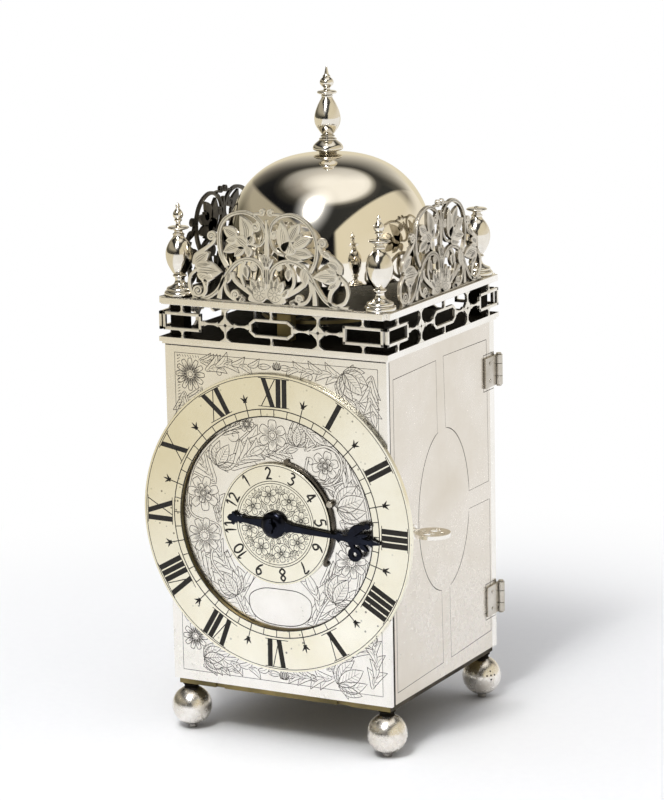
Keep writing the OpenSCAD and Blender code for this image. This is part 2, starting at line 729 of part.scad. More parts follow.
module hour_hand() color(steel) difference() {
    union() {
        slab_y(0, dial_z, blade_y, blade_y + blade_t) rotate(hand_angle) {
            polygon([[3, 1.1], [hand_len * 0.66, 0.8], [hand_len * 0.8, 0.8], [hand_len, 0],
                [hand_len * 0.8, -0.8], [hand_len * 0.66, -0.8], [3, -1.1], [3, 0]]);
            for (s = [-1, 1]) {
                arc_bar(hand_len * 0.79, s * 3, 2.6, s > 0 ? -90 : -180, s > 0 ? 180 : 90, 1.4);
                translate([hand_len * 0.87, s * 2.4]) circle(r = 1.7);
                translate([hand_len * 0.68, s * 1]) circle(r = 1.1);
                translate([-tail_len + 1.4, s * 1.2]) circle(r = 1.1);
            }
            polygon([[-3, -1], [-3, 1], [-tail_len + 2, 0.6], [-tail_len, 0], [-tail_len + 2, -0.6]]);
        }
        bar_y(0, dial_z, blade_y - 0.8, boss_y, hand_boss_r);
    }
    bar_y(0, dial_z, hand_end_y, boss_y + 1, hand_bore_r);
}
module hand_pin() color(steel) bar_z(0, hand_pin_y, dial_z - 2.6, dial_z + 2.6, hand_pin_r);
module hour_wheel() color(brass) difference() {
    union() {
        slab_y(0, dial_z, hour_y, hour_y + wheel_t) wheel_outline(hour_n, great_m, 0);
        bar_y(0, dial_z, hour_y - 1.5, hour_y + wheel_t, hour_r + 1.4);
        bar_y(0, dial_z, boss_y, fp_y0 - gap, hour_r);
        bar_y(0, dial_z, fp_y0 - 1, fp_y1 - 0.4, arbor_r);
        bar_y(0, dial_z, blade_y - 2.6, boss_y + 0.1, hand_bore_r);
    }
    bar_z(0, hand_pin_y, dial_z - 3, dial_z + 3, hand_pin_r);
}

// Movement frame
module train_holes(y0, y1) {
    bar_y(centre_x, great_z, y0, y1, going_arbor_r + run);
    bar_y(centre_x, centre_z, y0, y1, pivot_hole);
    bar_y(centre_x, third_z, y0, y1, pivot_hole);
    bar_y(lever_x, lever_z, y0, y1, pivot_hole);
}
pillar_zs = [floor_z + 6, wall_top - 7];
module movement_front_plate() color(brass) difference() {
    block([-plate_half, fp_y0, floor_z], [plate_half, fp_y1, wall_top]);
    train_holes(fp_y0 - 1, fp_y1 + 1);
    bar_y(0, dial_z, fp_y0 - 1, fp_y1 + 1, pivot_hole);
    for (s = [-1, 1], z = pillar_zs) bar_y(s * pillar_x, z, fp_y0 - 1, fp_y1 + 1, pillar_end_r);
}
module movement_back_plate() color(brass) difference() {
    block([-plate_half, bp_y0, floor_z], [plate_half, bp_y1, wall_top]);
    train_holes(bp_y0 - 1, bp_y1 + 1);
    bar_y(alarm_x, alarm_z, bp_y0 - 1, bp_y1 + 1, going_arbor_r + run);
    bar_y(0, crown_z, bp_y0 - 1, bp_y1 + 1, staff_r + run);
    for (s = [-1, 1], z = pillar_zs) bar_y(s * pillar_x, z, bp_y0 - 1, bp_y1 + 1, screw_r + run);
    for (p = [[centre_x, great_z], [alarm_x, alarm_z]])
        bar_y(p[0] + click_x, p[1] + click_z, bp_y0 - 1, bp_y1 + 1, click_r + run);
}
module movement_pillars() color(brass) for (s = [-1, 1], z = pillar_zs) difference() {
    union() {
        bar_y(s * pillar_x, z, fp_y1, bp_y0, pillar_r);
        bar_y(s * pillar_x, z, fp_y0, fp_y1 + 0.1, pillar_end_r);
    }
    bar_y(s * pillar_x, z, bp_y0 - 7, bp_y0 + 1, screw_r + run);
}
module movement_screws() color(steel) for (s = [-1, 1], z = pillar_zs) difference() {
    union() {
        bar_y(s * pillar_x, z, bp_y0 - 6, bp_y1 + 0.1, screw_r);
        bar_y(s * pillar_x, z, bp_y1, bp_y1 + screw_head_t, 2 * screw_r);
    }
    translate([s * pillar_x, bp_y1 + screw_head_t, z]) cube([5, 1, 0.5], center = true);
}
// Brackets that carry the crown wheel's and the alarm arbor's front pivots and the two staffs' feet
module potences() color(brass) {
    difference() {
        union() {
            block([-2.5, fp_y1, verge_foot_z - 2.3], [6.5, fp_y1 + 1.5, crown_z + 2]);
            block([-2, fp_y1, verge_foot_z - 2.3], [2, verge_y + 2, verge_foot_z]);
            block([3.6, fp_y1, crown_z - 2], [6, crown_y - 0.6, crown_z + 1.6]);
            block([-2, crown_y - 2.2, crown_z - 2], [6, crown_y - 0.6, crown_z + 1.6]);
        }
        bar_z(0, verge_y, verge_foot_z - foot_depth, verge_foot_z + 1, staff_r + run);
        bar_y(0, crown_z, crown_y - 3, crown_y, staff_r + run);
    }
    difference() {
        block([alarm_x - 2, fp_y1, alarm_foot_z - 2.5], [alarm_x + 2, staff_y + 2, alarm_foot_z]);
        bar_z(alarm_x, staff_y, alarm_foot_z - foot_depth, alarm_foot_z + 1, staff_r + run);
    }
    difference() {
        union() {
            block([alarm_x + 3, fp_y1, alarm_z - 2], [alarm_x + 5, alarm_arm_y + alarm_arm_t, alarm_z + 2]);
            block([alarm_x - 3, alarm_arm_y, alarm_z - 2],
                [alarm_x + 5, alarm_arm_y + alarm_arm_t, alarm_z + 2]);
        }
        bar_y(alarm_x, alarm_z, alarm_arm_y - 1, alarm_disc_y, going_arbor_r + run);
    }
}

// Spring barrels
module going_barrel() color(brass) difference() {
    union() {
        bar_y(centre_x, great_z, great_y - drum_l, great_y + 0.1, drum_r);
        slab_y(centre_x, great_z, great_y, great_y + great_t) gear_outline(great_n, great_m, 0);
    }
    bar_y(centre_x, great_z, great_y - drum_l + drum_wall, great_y, drum_r - drum_wall);
    bar_y(centre_x, great_z, great_y - drum_l - 1, great_y + great_t + 1, going_arbor_r + run);
}
module spiral(turns, r0, r1, t) {
    n = 20 * turns;
    polygon([for (s = [-1, 1], k = [0 : n])
        let (i = s < 0 ? k : n - k, r = r0 + (r1 - r0) * i / n + s * t / 2) r * [cos(i * 18), sin(i * 18)]]);
}
module going_mainspring() color(steel)
    slab_y(centre_x, great_z, great_y - drum_l + drum_wall + gap, great_y - gap)
        spiral(6, going_arbor_r + 0.5, drum_r - drum_wall - 0.25, 0.4);
module arbor_shape(x, z, front) {
    bar_y(x, z, front, bp_y1 + 1.8, going_arbor_r);
    block([x - square_w / 2, bp_y1 + 1, z - square_w / 2], [x + square_w / 2, square_y, z + square_w / 2]);
    slab_y(x, z, ratchet_y, ratchet_y + ratchet_t)
        polygon([for (i = [0 : ratchet_n - 1], k = [0, 1]) let (p = 360 / ratchet_n, a = 84 + i * p + k * p)
            (k == 0 ? ratchet_root : ratchet_tip) * [cos(a), sin(a)]]);
}
module click_shape(x, z) {
    bar_y(x + click_x, z + click_z, bp_y0 + 0.5, ratchet_y + 2, click_r);
    slab_y(x, z, ratchet_y, ratchet_y + ratchet_t) union() {
        translate([click_x, click_z]) circle(r = 1.7);
        polygon([[click_x, click_z - 1.2], [-0.9, ratchet_tip + 0.9], [0, ratchet_tip + 0.2],
            [0.7, ratchet_tip + 0.9], [0.7, ratchet_tip + 2.2], [click_x, click_z + 1.2]]);
    }
}
module going_arbor() color(steel) arbor_shape(centre_x, great_z, fp_y0);
module alarm_arbor() color(steel) arbor_shape(alarm_x, alarm_z, alarm_arm_y);
module going_click() color(steel) click_shape(centre_x, great_z);
module alarm_click() color(steel) click_shape(alarm_x, alarm_z);

// Going train
module pinion(x, z, y0, y1, n, m, turn) slab_y(x, z, y0, y1) gear_outline(n, m, turn);
module centre_wheel() color(brass) {
    bar_y(centre_x, centre_z, hour_y - 1.5, bp_y1 - 0.4, arbor_r);
    pinion(centre_x, centre_z, great_y - 2, great_y + 4, leaves, great_m, centre_pinion_turn);
    pinion(centre_x, centre_z, hour_y - 1.5, hour_y + 2.5, report_n, great_m, report_turn);
    slab_y(centre_x, centre_z, centre_y, centre_y + wheel_t) wheel_outline(centre_n, centre_m, 0);
}
module third_wheel() color(brass) {
    bar_y(centre_x, third_z, fp_y0 + 0.4, bp_y1 - 0.4, arbor_r);
    pinion(centre_x, third_z, centre_y - 2, centre_y + 3, leaves, centre_m, third_pinion_turn);
    slab_y(centre_x, third_z, third_y, third_y + wheel_t) wheel_outline(third_n, third_m, 0);
}

// Toothed rim of a crown wheel: a tube along Y with the spaces between its saw teeth cut out
module crown_teeth(x, z, y_tip, y_base, r, n, h) translate([x, y_tip, z]) difference() {
    pitch = 2 * PI * r / n;
    rotate([-90, 0, 0]) cylinder(h = y_base - y_tip, r = r);
    rotate([-90, 0, 0]) translate([0, 0, -1]) cylinder(h = y_base - y_tip + 2, r = r - crown_band);
    for (i = [0 : n - 1]) rotate([0, i * 360 / n, 0]) translate([0, 0, r - crown_band - 1])
        linear_extrude(crown_band + 2) polygon([[pitch * 0.14, -1], [pitch * 0.14, 0],
            [pitch * 0.86, h], [pitch * 0.92, 0], [pitch * 0.92, -1]]);
}
module crown_wheel() color(brass) {
    bar_y(0, crown_z, crown_y - 2, bp_y1 - 0.4, staff_r);
    pinion(0, crown_z, third_y - 2, third_y + 3, leaves, third_m, crown_pinion_turn);
    slab_y(0, crown_z, crown_y, crown_y + wheel_t) difference() {
        circle(r = crown_r);
        crossings(crown_r - 2, 2.6, 1.4);
    }
    crown_teeth(0, crown_z, crown_tip_y, crown_y + 0.1, crown_r, crown_n, 2.5);
}
module pallet(z, turn) translate([0, 0, z]) rotate([0, 0, turn])
    translate([-0.25, 0, -1.3]) cube([0.5, pallet_l, 2.6]);
module verge_staff() color(steel) translate([0, verge_y, 0]) {
    bar_z(0, 0, verge_foot_z - foot_depth, cock_z + 1.1, staff_r);
    pallet(crown_z + crown_r - 0.6, 45);
    pallet(crown_z - crown_r + 0.6, -45);
}
module balance_wheel() color(brass) translate([0, verge_y, balance_z])
    linear_extrude(balance_t) difference() {
        circle(r = balance_r);
        crossings(balance_r - 2, 2.6, 1.8);
        circle(r = staff_r);
    }
module balance_cock() color(brass) difference() {
    union() {
        block([-2.6, cock_y - 3.4, gallery_z], [2.6, cock_y, cock_z + 1.2]);
        block([-2.6, cock_y - 1, cock_z], [2.6, verge_y, cock_z + 1.2]);
        bar_z(0, verge_y, cock_z, cock_z + 1.2, 3.4);
    }
    bar_z(0, verge_y, cock_z - 1, cock_z + 2, staff_r + run);
}

// Alarm train
module alarm_barrel() color(brass) difference() {
    back = alarm_disc_y + alarm_drum_l;
    union() {
        bar_y(alarm_x, alarm_z, alarm_disc_y, back, alarm_drum_r);
        bar_y(alarm_x, alarm_z, alarm_disc_y, alarm_disc_y + wheel_t, alarm_crown_r);
        crown_teeth(alarm_x, alarm_z, alarm_tip_y, alarm_disc_y + 0.1, alarm_crown_r, alarm_teeth, 2.1);
    }
    bar_y(alarm_x, alarm_z, alarm_disc_y + drum_wall, back - drum_wall, alarm_drum_r - drum_wall);
    bar_y(alarm_x, alarm_z, alarm_tip_y, back + 1, going_arbor_r + run);
}
module alarm_mainspring() color(steel)
    slab_y(alarm_x, alarm_z, alarm_disc_y + drum_wall + gap, alarm_disc_y + alarm_drum_l - drum_wall - gap)
        spiral(4, going_arbor_r + 0.5, alarm_drum_r - drum_wall - 0.25, 0.4);
module alarm_staff() color(steel) translate([alarm_x, staff_y, 0]) {
    bar_z(0, 0, alarm_foot_z - foot_depth, hammer_z + 1.2, staff_r);
    pallet(alarm_z + alarm_crown_r - 0.6, 45);
    pallet(alarm_z - alarm_crown_r + 0.6, -45);
    bar_y(0, lever_z - 5, 0, 6, 0.6);
}
module alarm_hammer() color(steel) translate([alarm_x, staff_y, hammer_z]) rotate([0, 0, hammer_turn]) {
    difference() {
        union() {
            cylinder(h = 1.6, r = 1.8, center = true);
            rotate([0, 90, 0]) cylinder(h = hammer_l, r = 0.6);
            translate([hammer_l, 0, 0]) sphere(r = hammer_head_r);
        }
        cylinder(h = 4, r = staff_r, center = true);
    }
}
module alarm_lever() color(steel) {
    reach = cam_r + 0.4;
    bar_y(lever_x, lever_z, lever_y, bp_y1 - 0.4, arbor_r);
    slab_y(lever_x, lever_z, lever_y, lever_y + cam_t) union() {
        circle(r = 1.8);
        x = -lever_x - reach;
        z = dial_z - lever_z;
        polygon([[-1.2, 0], [x - 1.6, z - 0.6], [x, z - 0.6], [x, z + 0.8], [1.2, 0]]);
    }
    slab_y(lever_x, lever_z, staff_y + 4.4, staff_y + 5.6) union() {
        circle(r = 1.8);
        polygon([[-0.7, 0], [0.5, -6.5], [1.9, -6.5], [0.7, 0]]);
    }
}

base_plate();
front_plate();
back_plate();
case_posts();
lower_cornice();
gallery_posts();
front_gallery_strip();
back_gallery_strip();
right_gallery_strip();
left_gallery_strip();
top_plate();
top_mouldings();
front_crest();
right_crest();
left_crest();
front_left_finial();
front_right_finial();
back_left_finial();
back_right_finial();
bell();
bell_post();
bell_nut();
ball_feet();
case_hinge_leaves();
hinge_pins();
right_door();
right_door_leaves();
right_latch();
left_door();
left_door_leaves();
left_latch();
chapter_ring();
alarm_disc();
alarm_spring();
alarm_stud();
hour_hand();
hand_pin();
hour_wheel();
movement_front_plate();
movement_back_plate();
movement_pillars();
movement_screws();
potences();
going_barrel();
going_mainspring();
going_arbor();
going_click();
centre_wheel();
third_wheel();
crown_wheel();
verge_staff();
balance_wheel();
balance_cock();
alarm_barrel();
alarm_mainspring();
alarm_arbor();
alarm_click();
alarm_staff();
alarm_hammer();
alarm_lever();
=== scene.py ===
import bpy
import bmesh
from math import atan2, cos, hypot, pi, radians, sin
from mathutils import Matrix, Vector
from mathutils.geometry import interpolate_bezier


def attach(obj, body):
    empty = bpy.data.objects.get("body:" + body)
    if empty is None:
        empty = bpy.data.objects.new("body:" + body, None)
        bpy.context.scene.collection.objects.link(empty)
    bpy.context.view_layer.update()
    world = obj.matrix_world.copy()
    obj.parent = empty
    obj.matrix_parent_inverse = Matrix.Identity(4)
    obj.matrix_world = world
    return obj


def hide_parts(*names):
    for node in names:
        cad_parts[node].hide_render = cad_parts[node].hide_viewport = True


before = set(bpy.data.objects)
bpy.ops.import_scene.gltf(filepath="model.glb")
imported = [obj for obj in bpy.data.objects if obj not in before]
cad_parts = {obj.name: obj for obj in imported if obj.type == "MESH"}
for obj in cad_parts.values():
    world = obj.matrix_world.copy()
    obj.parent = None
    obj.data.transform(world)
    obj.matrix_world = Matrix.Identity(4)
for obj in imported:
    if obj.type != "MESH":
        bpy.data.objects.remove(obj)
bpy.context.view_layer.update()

scene = bpy.context.scene
scene.view_settings.view_transform = "Standard"


# The studio: a pale table in a cream room, with one oval soft lamp high in front of the dial. The dark gaps
# between ceiling, lamp and walls are what polished silver shows as bands.
def wired(tree, kind, *feeds, **settings):
    made = tree.nodes.new("ShaderNode" + kind)
    for setting, value in settings.items():
        setattr(made, setting, value)
    for socket, feed in zip(made.inputs, feeds):
        if isinstance(feed, bpy.types.NodeSocket):
            tree.links.new(feed, socket)
        elif feed is not None:
            socket.default_value = feed
    return made.outputs[0]


def banded(tree, feed, *stops):
    made = wired(tree, "ValToRGB", feed)
    stripes = made.node.color_ramp
    stripes.elements.remove(stripes.elements[1])
    for place, tone in stops:
        stripe = stripes.elements[0] if (place, tone) == stops[0] else stripes.elements.new(place)
        stripe.position = place
        stripe.color = (*tone, 1)
    return made


room = bpy.data.worlds.new("room")
scene.world = room
room.use_nodes = True
tree = room.node_tree
cream = 0.77, 0.70, 0.53
gloom = 0.008, 0.008, 0.009
ceiling = 1.0, 0.96, 0.88
split = wired(tree, "SeparateXYZ", wired(tree, "TexCoord")).node
across, along, height = split.outputs
forward = wired(tree, "Math", along, -1.0, operation="MULTIPLY")
bearing = wired(tree, "Math", across, forward, operation="ARCTAN2")
bearing = wired(tree, "MapRange", bearing, -pi, pi, 0.0, 1.0)
left_wall = 0.42, 0.38, 0.29
back_wall = 0.90, 0.85, 0.74
corner = 0.28, 0.25, 0.20
walls = banded(tree, bearing, (0.0, back_wall), (0.10, (0.70, 0.65, 0.55)), (0.15, (0.40, 0.36, 0.30)),
               (0.20, left_wall), (0.51, left_wall), (0.53, gloom), (0.592, gloom), (0.60, cream),
               (0.75, cream), (0.90, (0.72, 0.65, 0.50)), (0.94, corner), (1.0, back_wall))
skirting = banded(tree, bearing, (0.10, cream), (0.20, (0.11, 0.10, 0.07)), (0.53, gloom), (0.592, gloom),
                  (0.60, cream), (0.90, (0.86, 0.80, 0.68)))
raised = banded(tree, height, (0.16, (0, 0, 0)), (0.36, (1, 1, 1)))
walls = wired(tree, "MixRGB", raised, skirting, walls)


def plane(lean_x, lean_y, lift):
    lifted = wired(tree, "Math", height, lift, operation="MULTIPLY")
    leaning = wired(tree, "Math", along, lean_y, lifted, operation="MULTIPLY_ADD")
    return wired(tree, "Math", across, lean_x, leaning, operation="MULTIPLY_ADD")


right_top = plane(1.068, 0.172, -1)
left_top = plane(-0.675, -0.45, -1)
under = wired(tree, "Math", right_top, left_top, operation="MAXIMUM")
under = wired(tree, "MapRange", under, -0.02, 0.04, 0.0, 1.0)
haze = wired(tree, "MapRange", height, 0.74, 0.20, 0.0, 1.0)
behind = banded(tree, bearing, (0.0, (1, 1, 1)), (0.10, (1, 1, 1)), (0.20, (0, 0, 0)), (0.91, (0, 0, 0)),
                (0.97, (1, 1, 1)))
haze_behind = wired(tree, "Math", haze, behind, operation="MULTIPLY")
under = wired(tree, "Math", under, haze_behind, operation="MAXIMUM")
tilted = plane(-0.05, 0.04, 1)
left_lid = banded(tree, tilted, (0.72, gloom), (0.79, (0.032, 0.030, 0.025)), (0.822, (0.06, 0.056, 0.047)),
                  (0.86, (0.15, 0.14, 0.12)), (0.90, (0.26, 0.24, 0.21)), (0.94, (0.42, 0.39, 0.34)),
                  (1.0, ceiling))
right_lid = banded(tree, tilted, (0.72, (0.035, 0.035, 0.032)), (0.775, (0.06, 0.056, 0.05)),
                   (0.81, (0.36, 0.34, 0.29)), (0.845, (0.90, 0.86, 0.78)), (0.88, ceiling))
rightness = banded(tree, bearing, (0.0, (0.6, 0.6, 0.6)), (0.17, (0.3, 0.3, 0.3)), (0.29, (0, 0, 0)),
                   (0.40, (0, 0, 0)), (0.58, (0.8, 0.8, 0.8)), (0.66, (1, 1, 1)), (0.92, (1, 1, 1)),
                   (1.0, (0.6, 0.6, 0.6)))
lid = wired(tree, "MixRGB", rightness, left_lid, right_lid)
seen = wired(tree, "MixRGB", under, lid, walls)
skylight = 0.60, 0.60, 0.61, 1
paths = wired(tree, "LightPath").node.outputs
shiny = wired(tree, "MixRGB", paths["Is Glossy Ray"], skylight, seen)
shown = wired(tree, "MixRGB", paths["Is Camera Ray"], shiny, (1, 1, 1, 1))
tree.links.new(shown, tree.nodes["Background"].inputs["Color"])

softbox = bpy.data.lights.new("softbox", "AREA")
softbox.shape = "ELLIPSE"
softbox.size = 0.95
softbox.size_y = 1.6
softbox.energy = 225
softbox.use_nodes = True
tree = softbox.node_tree
spread = wired(tree, "NewGeometry").node.outputs["Parametric"]
spread = wired(tree, "VectorMath", spread, (0.5, 0.5, 0.0), operation="DISTANCE").node.outputs["Value"]
spread = wired(tree, "MapRange", spread, 0.5, 0.0, 0.0, 1.0, interpolation_type="SMOOTHSTEP")
core = wired(tree, "Math", spread, 9.0, operation="POWER")
halo = 0.015
spread = wired(tree, "Math", spread, halo, core, operation="MULTIPLY_ADD")
tree.links.new(spread, tree.nodes["Emission"].inputs["Strength"])
hung = bpy.data.objects.new("softbox", softbox)
lamp_at = Vector((0.04, -0.745, 1.05))
clock_middle = Vector((0, 0, 0.1))
aimed = (lamp_at - clock_middle).to_track_quat("Z", "Y").to_matrix().to_4x4()
hung.matrix_world = Matrix.Translation(lamp_at) @ aimed
scene.collection.objects.link(hung)

table = bmesh.new()
half_table = 8
bmesh.ops.create_grid(table, x_segments=1, y_segments=1, size=half_table)
ground = bpy.data.meshes.new("table")
table.to_mesh(ground)
table.free()
floor = bpy.data.objects.new("table", ground)
scene.collection.objects.link(floor)
paper = bpy.data.materials.new("white_paper")
paper.use_nodes = True
tree = paper.node_tree
shade = tree.nodes["Principled BSDF"]
shade.inputs["Roughness"].default_value = 0.9
shade.inputs["Specular IOR Level"].default_value = 0.0
where = wired(tree, "TexCoord").node.outputs["Object"]
fibre = wired(tree, "TexNoise", where, None, 300, 3)
sheet = wired(tree, "MixRGB", fibre, (0.93, 0.935, 0.945, 1), (0.90, 0.905, 0.92, 1))
# Painted shadow: the paper darkens towards grey where ambient occlusion finds the clock close by, standing for
# its contact shadow.
contact_shade = wired(tree, "AmbientOcclusion", None, 0.05, samples=8).node.outputs["AO"]
contact_shade = wired(tree, "MapRange", contact_shade, 0.10, 0.60, 0.7, 0.0)
tree.links.new(wired(tree, "MixRGB", contact_shade, sheet, (0.30, 0.29, 0.27, 1)), shade.inputs["Base Color"])
away = wired(tree, "VectorMath", where, operation="LENGTH").node.outputs["Value"]
far = wired(tree, "MapRange", away, 0.10, 0.30, 0.0, 1.0, interpolation_type="SMOOTHSTEP")
paths = wired(tree, "LightPath").node.outputs
looked = wired(tree, "Math", paths["Is Camera Ray"], paths["Is Glossy Ray"], operation="MAXIMUM")
looked = wired(tree, "Math", looked, paths["Is Transmission Ray"], operation="MAXIMUM")
split = wired(tree, "SeparateXYZ", where).node
edge = wired(tree, "Math", split.outputs["Y"], -0.22, split.outputs["X"], operation="MULTIPLY_ADD")
edge = wired(tree, "MapRange", edge, -0.16, -0.10, 1.0, 0.0, interpolation_type="SMOOTHSTEP")
past = wired(tree, "Math", edge, paths["Is Glossy Ray"], operation="MULTIPLY")
white = wired(tree, "Emission", wired(tree, "MixRGB", past, (1, 1, 1, 1), (*cream, 1)), 1.0)
faded = wired(tree, "Math", far, looked, operation="MULTIPLY")
faded = wired(tree, "Math", faded, past, operation="MAXIMUM")
mixed = wired(tree, "MixShader", faded, shade.outputs[0], white)
tree.links.new(mixed, tree.nodes["Material Output"].inputs["Surface"])
ground.materials.append(paper)

camera = bpy.data.cameras.new("camera")
camera.sensor_fit = "HORIZONTAL"
camera.sensor_width = 36
camera.lens = 172.28
camera.shift_y = -0.0757
stand = bpy.data.objects.new("camera", camera)
ahead = Vector((-0.46815, 0.86202, -0.19430)).normalized()
level = ahead.cross(Vector((0, 0, 1))).normalized()
upright = level.cross(ahead)
lean = radians(-1.146)
turned_in = Matrix((level * cos(lean) + upright * sin(lean), upright * cos(lean) - level * sin(lean), -ahead))
tripod_at = 0.499594, -0.919922, 0.333885
stand.matrix_world = Matrix.Translation(tripod_at) @ turned_in.transposed().to_4x4()
scene.collection.objects.link(stand)
scene.camera = stand


# Base plate: rolled brass, left dull and olive brown, with two filed notches at its front edge. `eased` takes a
# drawn plate or wheel and breaks its edges with a fine file, as every hand-made part here has them.
hair_deep = 0.00002


def worked_metal(name, bright, dull, polish, clouds=50, spots=0.0, grain=(1, 1, 1), relief=0.2, hollow_shade_and_tarnish=0.0,
                 nook=0.0012):
    finish = bpy.data.materials.new(name)
    finish.use_nodes = True
    tree = finish.node_tree
    shader = tree.nodes["Principled BSDF"]
    shader.inputs["Metallic"].default_value = 1.0
    where = wired(tree, "TexCoord").node.outputs["Object"]
    cloud = wired(tree, "TexNoise", where, None, clouds, 4, 0.6)
    tone = wired(tree, "MixRGB", wired(tree, "MapRange", cloud, 0.35, 0.68, 0.0, 1.0), (*bright, 1),
                 (*dull, 1))
    dark = (*[shade * 0.2 for shade in dull], 1)
    if spots:
        dot = wired(tree, "TexVoronoi", where, None, 420).node.outputs["Distance"]
        patch = wired(tree, "MapRange", wired(tree, "TexNoise", where, None, 45, 2), 0.52, 0.64, 0.0, spots)
        speck = wired(tree, "MapRange", dot, 0.10, 0.2, 1.0, 0.0)
        speck = wired(tree, "Math", speck, patch, operation="MULTIPLY")
        tone = wired(tree, "MixRGB", speck, tone, dark)
    # Painted shade: the base colour darkens towards a near-black tone where ambient occlusion finds a hollow, a
    # crease or a neighbouring part. This stands for the shade there as well as for tarnish.
    if hollow_shade_and_tarnish:
        hollow = wired(tree, "AmbientOcclusion", None, nook, samples=6).node.outputs["AO"]
        tone = wired(tree, "MixRGB", wired(tree, "MapRange", hollow, 0.35, 0.9, hollow_shade_and_tarnish, 0.0), tone, dark)
    tree.links.new(tone, shader.inputs["Base Color"])
    rubbed = wired(tree, "TexNoise", where, None, 650, 5, 0.7)
    handled = wired(tree, "Math", rubbed, cloud, operation="ADD")
    rough = wired(tree, "MapRange", handled, 0.7, 1.35, polish * 0.8, polish * 1.22)
    tree.links.new(rough, shader.inputs["Roughness"])
    scratch = wired(tree, "TexNoise", wired(tree, "Mapping", where, None, None, grain), None, 1200, 3, 0.6)
    bump = wired(tree, "Bump", relief, hair_deep)
    tree.links.new(scratch, bump.node.inputs["Height"])
    tree.links.new(bump, shader.inputs["Normal"])
    return finish


def fitted(name, shape, body, slot, finish, *stands_for, sharp=38):
    mesh = bpy.data.meshes.new(name)
    shape.to_mesh(mesh)
    shape.free()
    for face in mesh.polygons:
        face.use_smooth = True
    mesh.set_sharp_from_angle(angle=radians(sharp))
    mesh.materials.append(finish)
    piece = bpy.data.objects.new(name, mesh)
    scene.collection.objects.link(piece)
    flats = piece.modifiers.new("flats", "WEIGHTED_NORMAL")
    flats.keep_sharp = True
    flats.weight = 60
    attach(piece, body)
    if stands_for:
        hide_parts(*stands_for)
    return piece


def second_finish(mesh, finish, taken):
    mesh.materials.append(finish)
    for face in mesh.polygons:
        face.material_index = 1 if taken(face.center, face.normal) else 0


def eased(node, body, slot, finish, edge=0.12, segments=2):
    shape = bmesh.new()
    shape.from_mesh(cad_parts[node].data)
    bmesh.ops.remove_doubles(shape, verts=shape.verts, dist=2e-7)
    bmesh.ops.dissolve_limit(shape, angle_limit=radians(0.6), verts=shape.verts, edges=shape.edges)
    arrises = [e for e in shape.edges if len(e.link_faces) == 2 and e.calc_face_angle(0) > radians(38)]
    bmesh.ops.bevel(shape, geom=arrises, offset=edge / 1000, segments=segments, profile=0.5, affect="EDGES",
                    material=-1, clamp_overlap=True)
    return fitted(node + "_eased", shape, body, slot, finish, node)


dull_brass_and_shade = worked_metal("dull_brass_and_shade", (0.27, 0.21, 0.09), (0.12, 0.10, 0.05), 0.42, grain=(0.2, 1, 1))
shaded_brass = worked_metal("shaded_brass", (0.10, 0.085, 0.06), (0.04, 0.034, 0.026), 0.6)
plate = eased("base_plate", "case", "brass", dull_brass_and_shade).data
# Painted shade: the plate's side edges take a near-black brass, standing for the shadow under the case along
# its sides.
side_edge = 0.0394
second_finish(plate, shaded_brass, lambda centre, normal: abs(centre.x) > side_edge)


# Corner posts: four square brass bars, bored at both ends for the tangs of the feet and finials, which draw the
# case together.
clean_brass = worked_metal("clean_brass", (0.72, 0.56, 0.26), (0.55, 0.41, 0.18), 0.30)
eased("case_posts", "case", "brass", clean_brass)


# Front plate: silver sheet. Flowers, leaves and a ruled border are cut into it with a graver around the dial,
# and wax holds the dark in the cuts. A smooth shield stands below the centre, and everything that grows on the
# plate stops where something else is already cut.
satin_silver = worked_metal("satin_silver", (0.95, 0.925, 0.885), (0.89, 0.86, 0.80), 0.25, relief=0.12)
eased("front_plate", "case", "case_silver", satin_silver)


def wax(name, dark, dusty, crumb, smooth, rough, sheen, lumps):
    finish = bpy.data.materials.new(name)
    finish.use_nodes = True
    tree = finish.node_tree
    shader = tree.nodes["Principled BSDF"]
    where = wired(tree, "TexCoord").node.outputs["Object"]
    crumbs = wired(tree, "TexNoise", where, None, crumb, 4)
    tree.links.new(wired(tree, "MixRGB", crumbs, (*dark, 1), (*dusty, 1)), shader.inputs["Base Color"])
    tree.links.new(wired(tree, "MapRange", crumbs, 0.3, 0.7, smooth, rough), shader.inputs["Roughness"])
    shader.inputs["Specular IOR Level"].default_value = sheen
    bump = wired(tree, "Bump", lumps, hair_deep)
    tree.links.new(crumbs, bump.node.inputs["Height"])
    tree.links.new(bump, shader.inputs["Normal"])
    return finish


waxed = wax("waxed_cut", (0.018, 0.015, 0.013), (0.06, 0.05, 0.04), 500, 0.7, 0.95, 0.12, 0.3)


def flowing(knots, steps=5, loop=False):
    count = len(knots)

    def knot(i):
        return Vector(knots[i % count] if loop else knots[max(0, min(count - 1, i))]).to_3d()

    path = []
    for i in range(count if loop else count - 1):
        before, start, end, after = (knot(i + step) for step in (-1, 0, 1, 2))
        leaving = start + (end - before) / 6
        arriving = end - (after - start) / 6
        path += interpolate_bezier(start, leaving, arriving, end, steps + 1)[:-1]
    return [(p.x, p.y) for p in path + ([] if loop else [knot(count - 1)])]


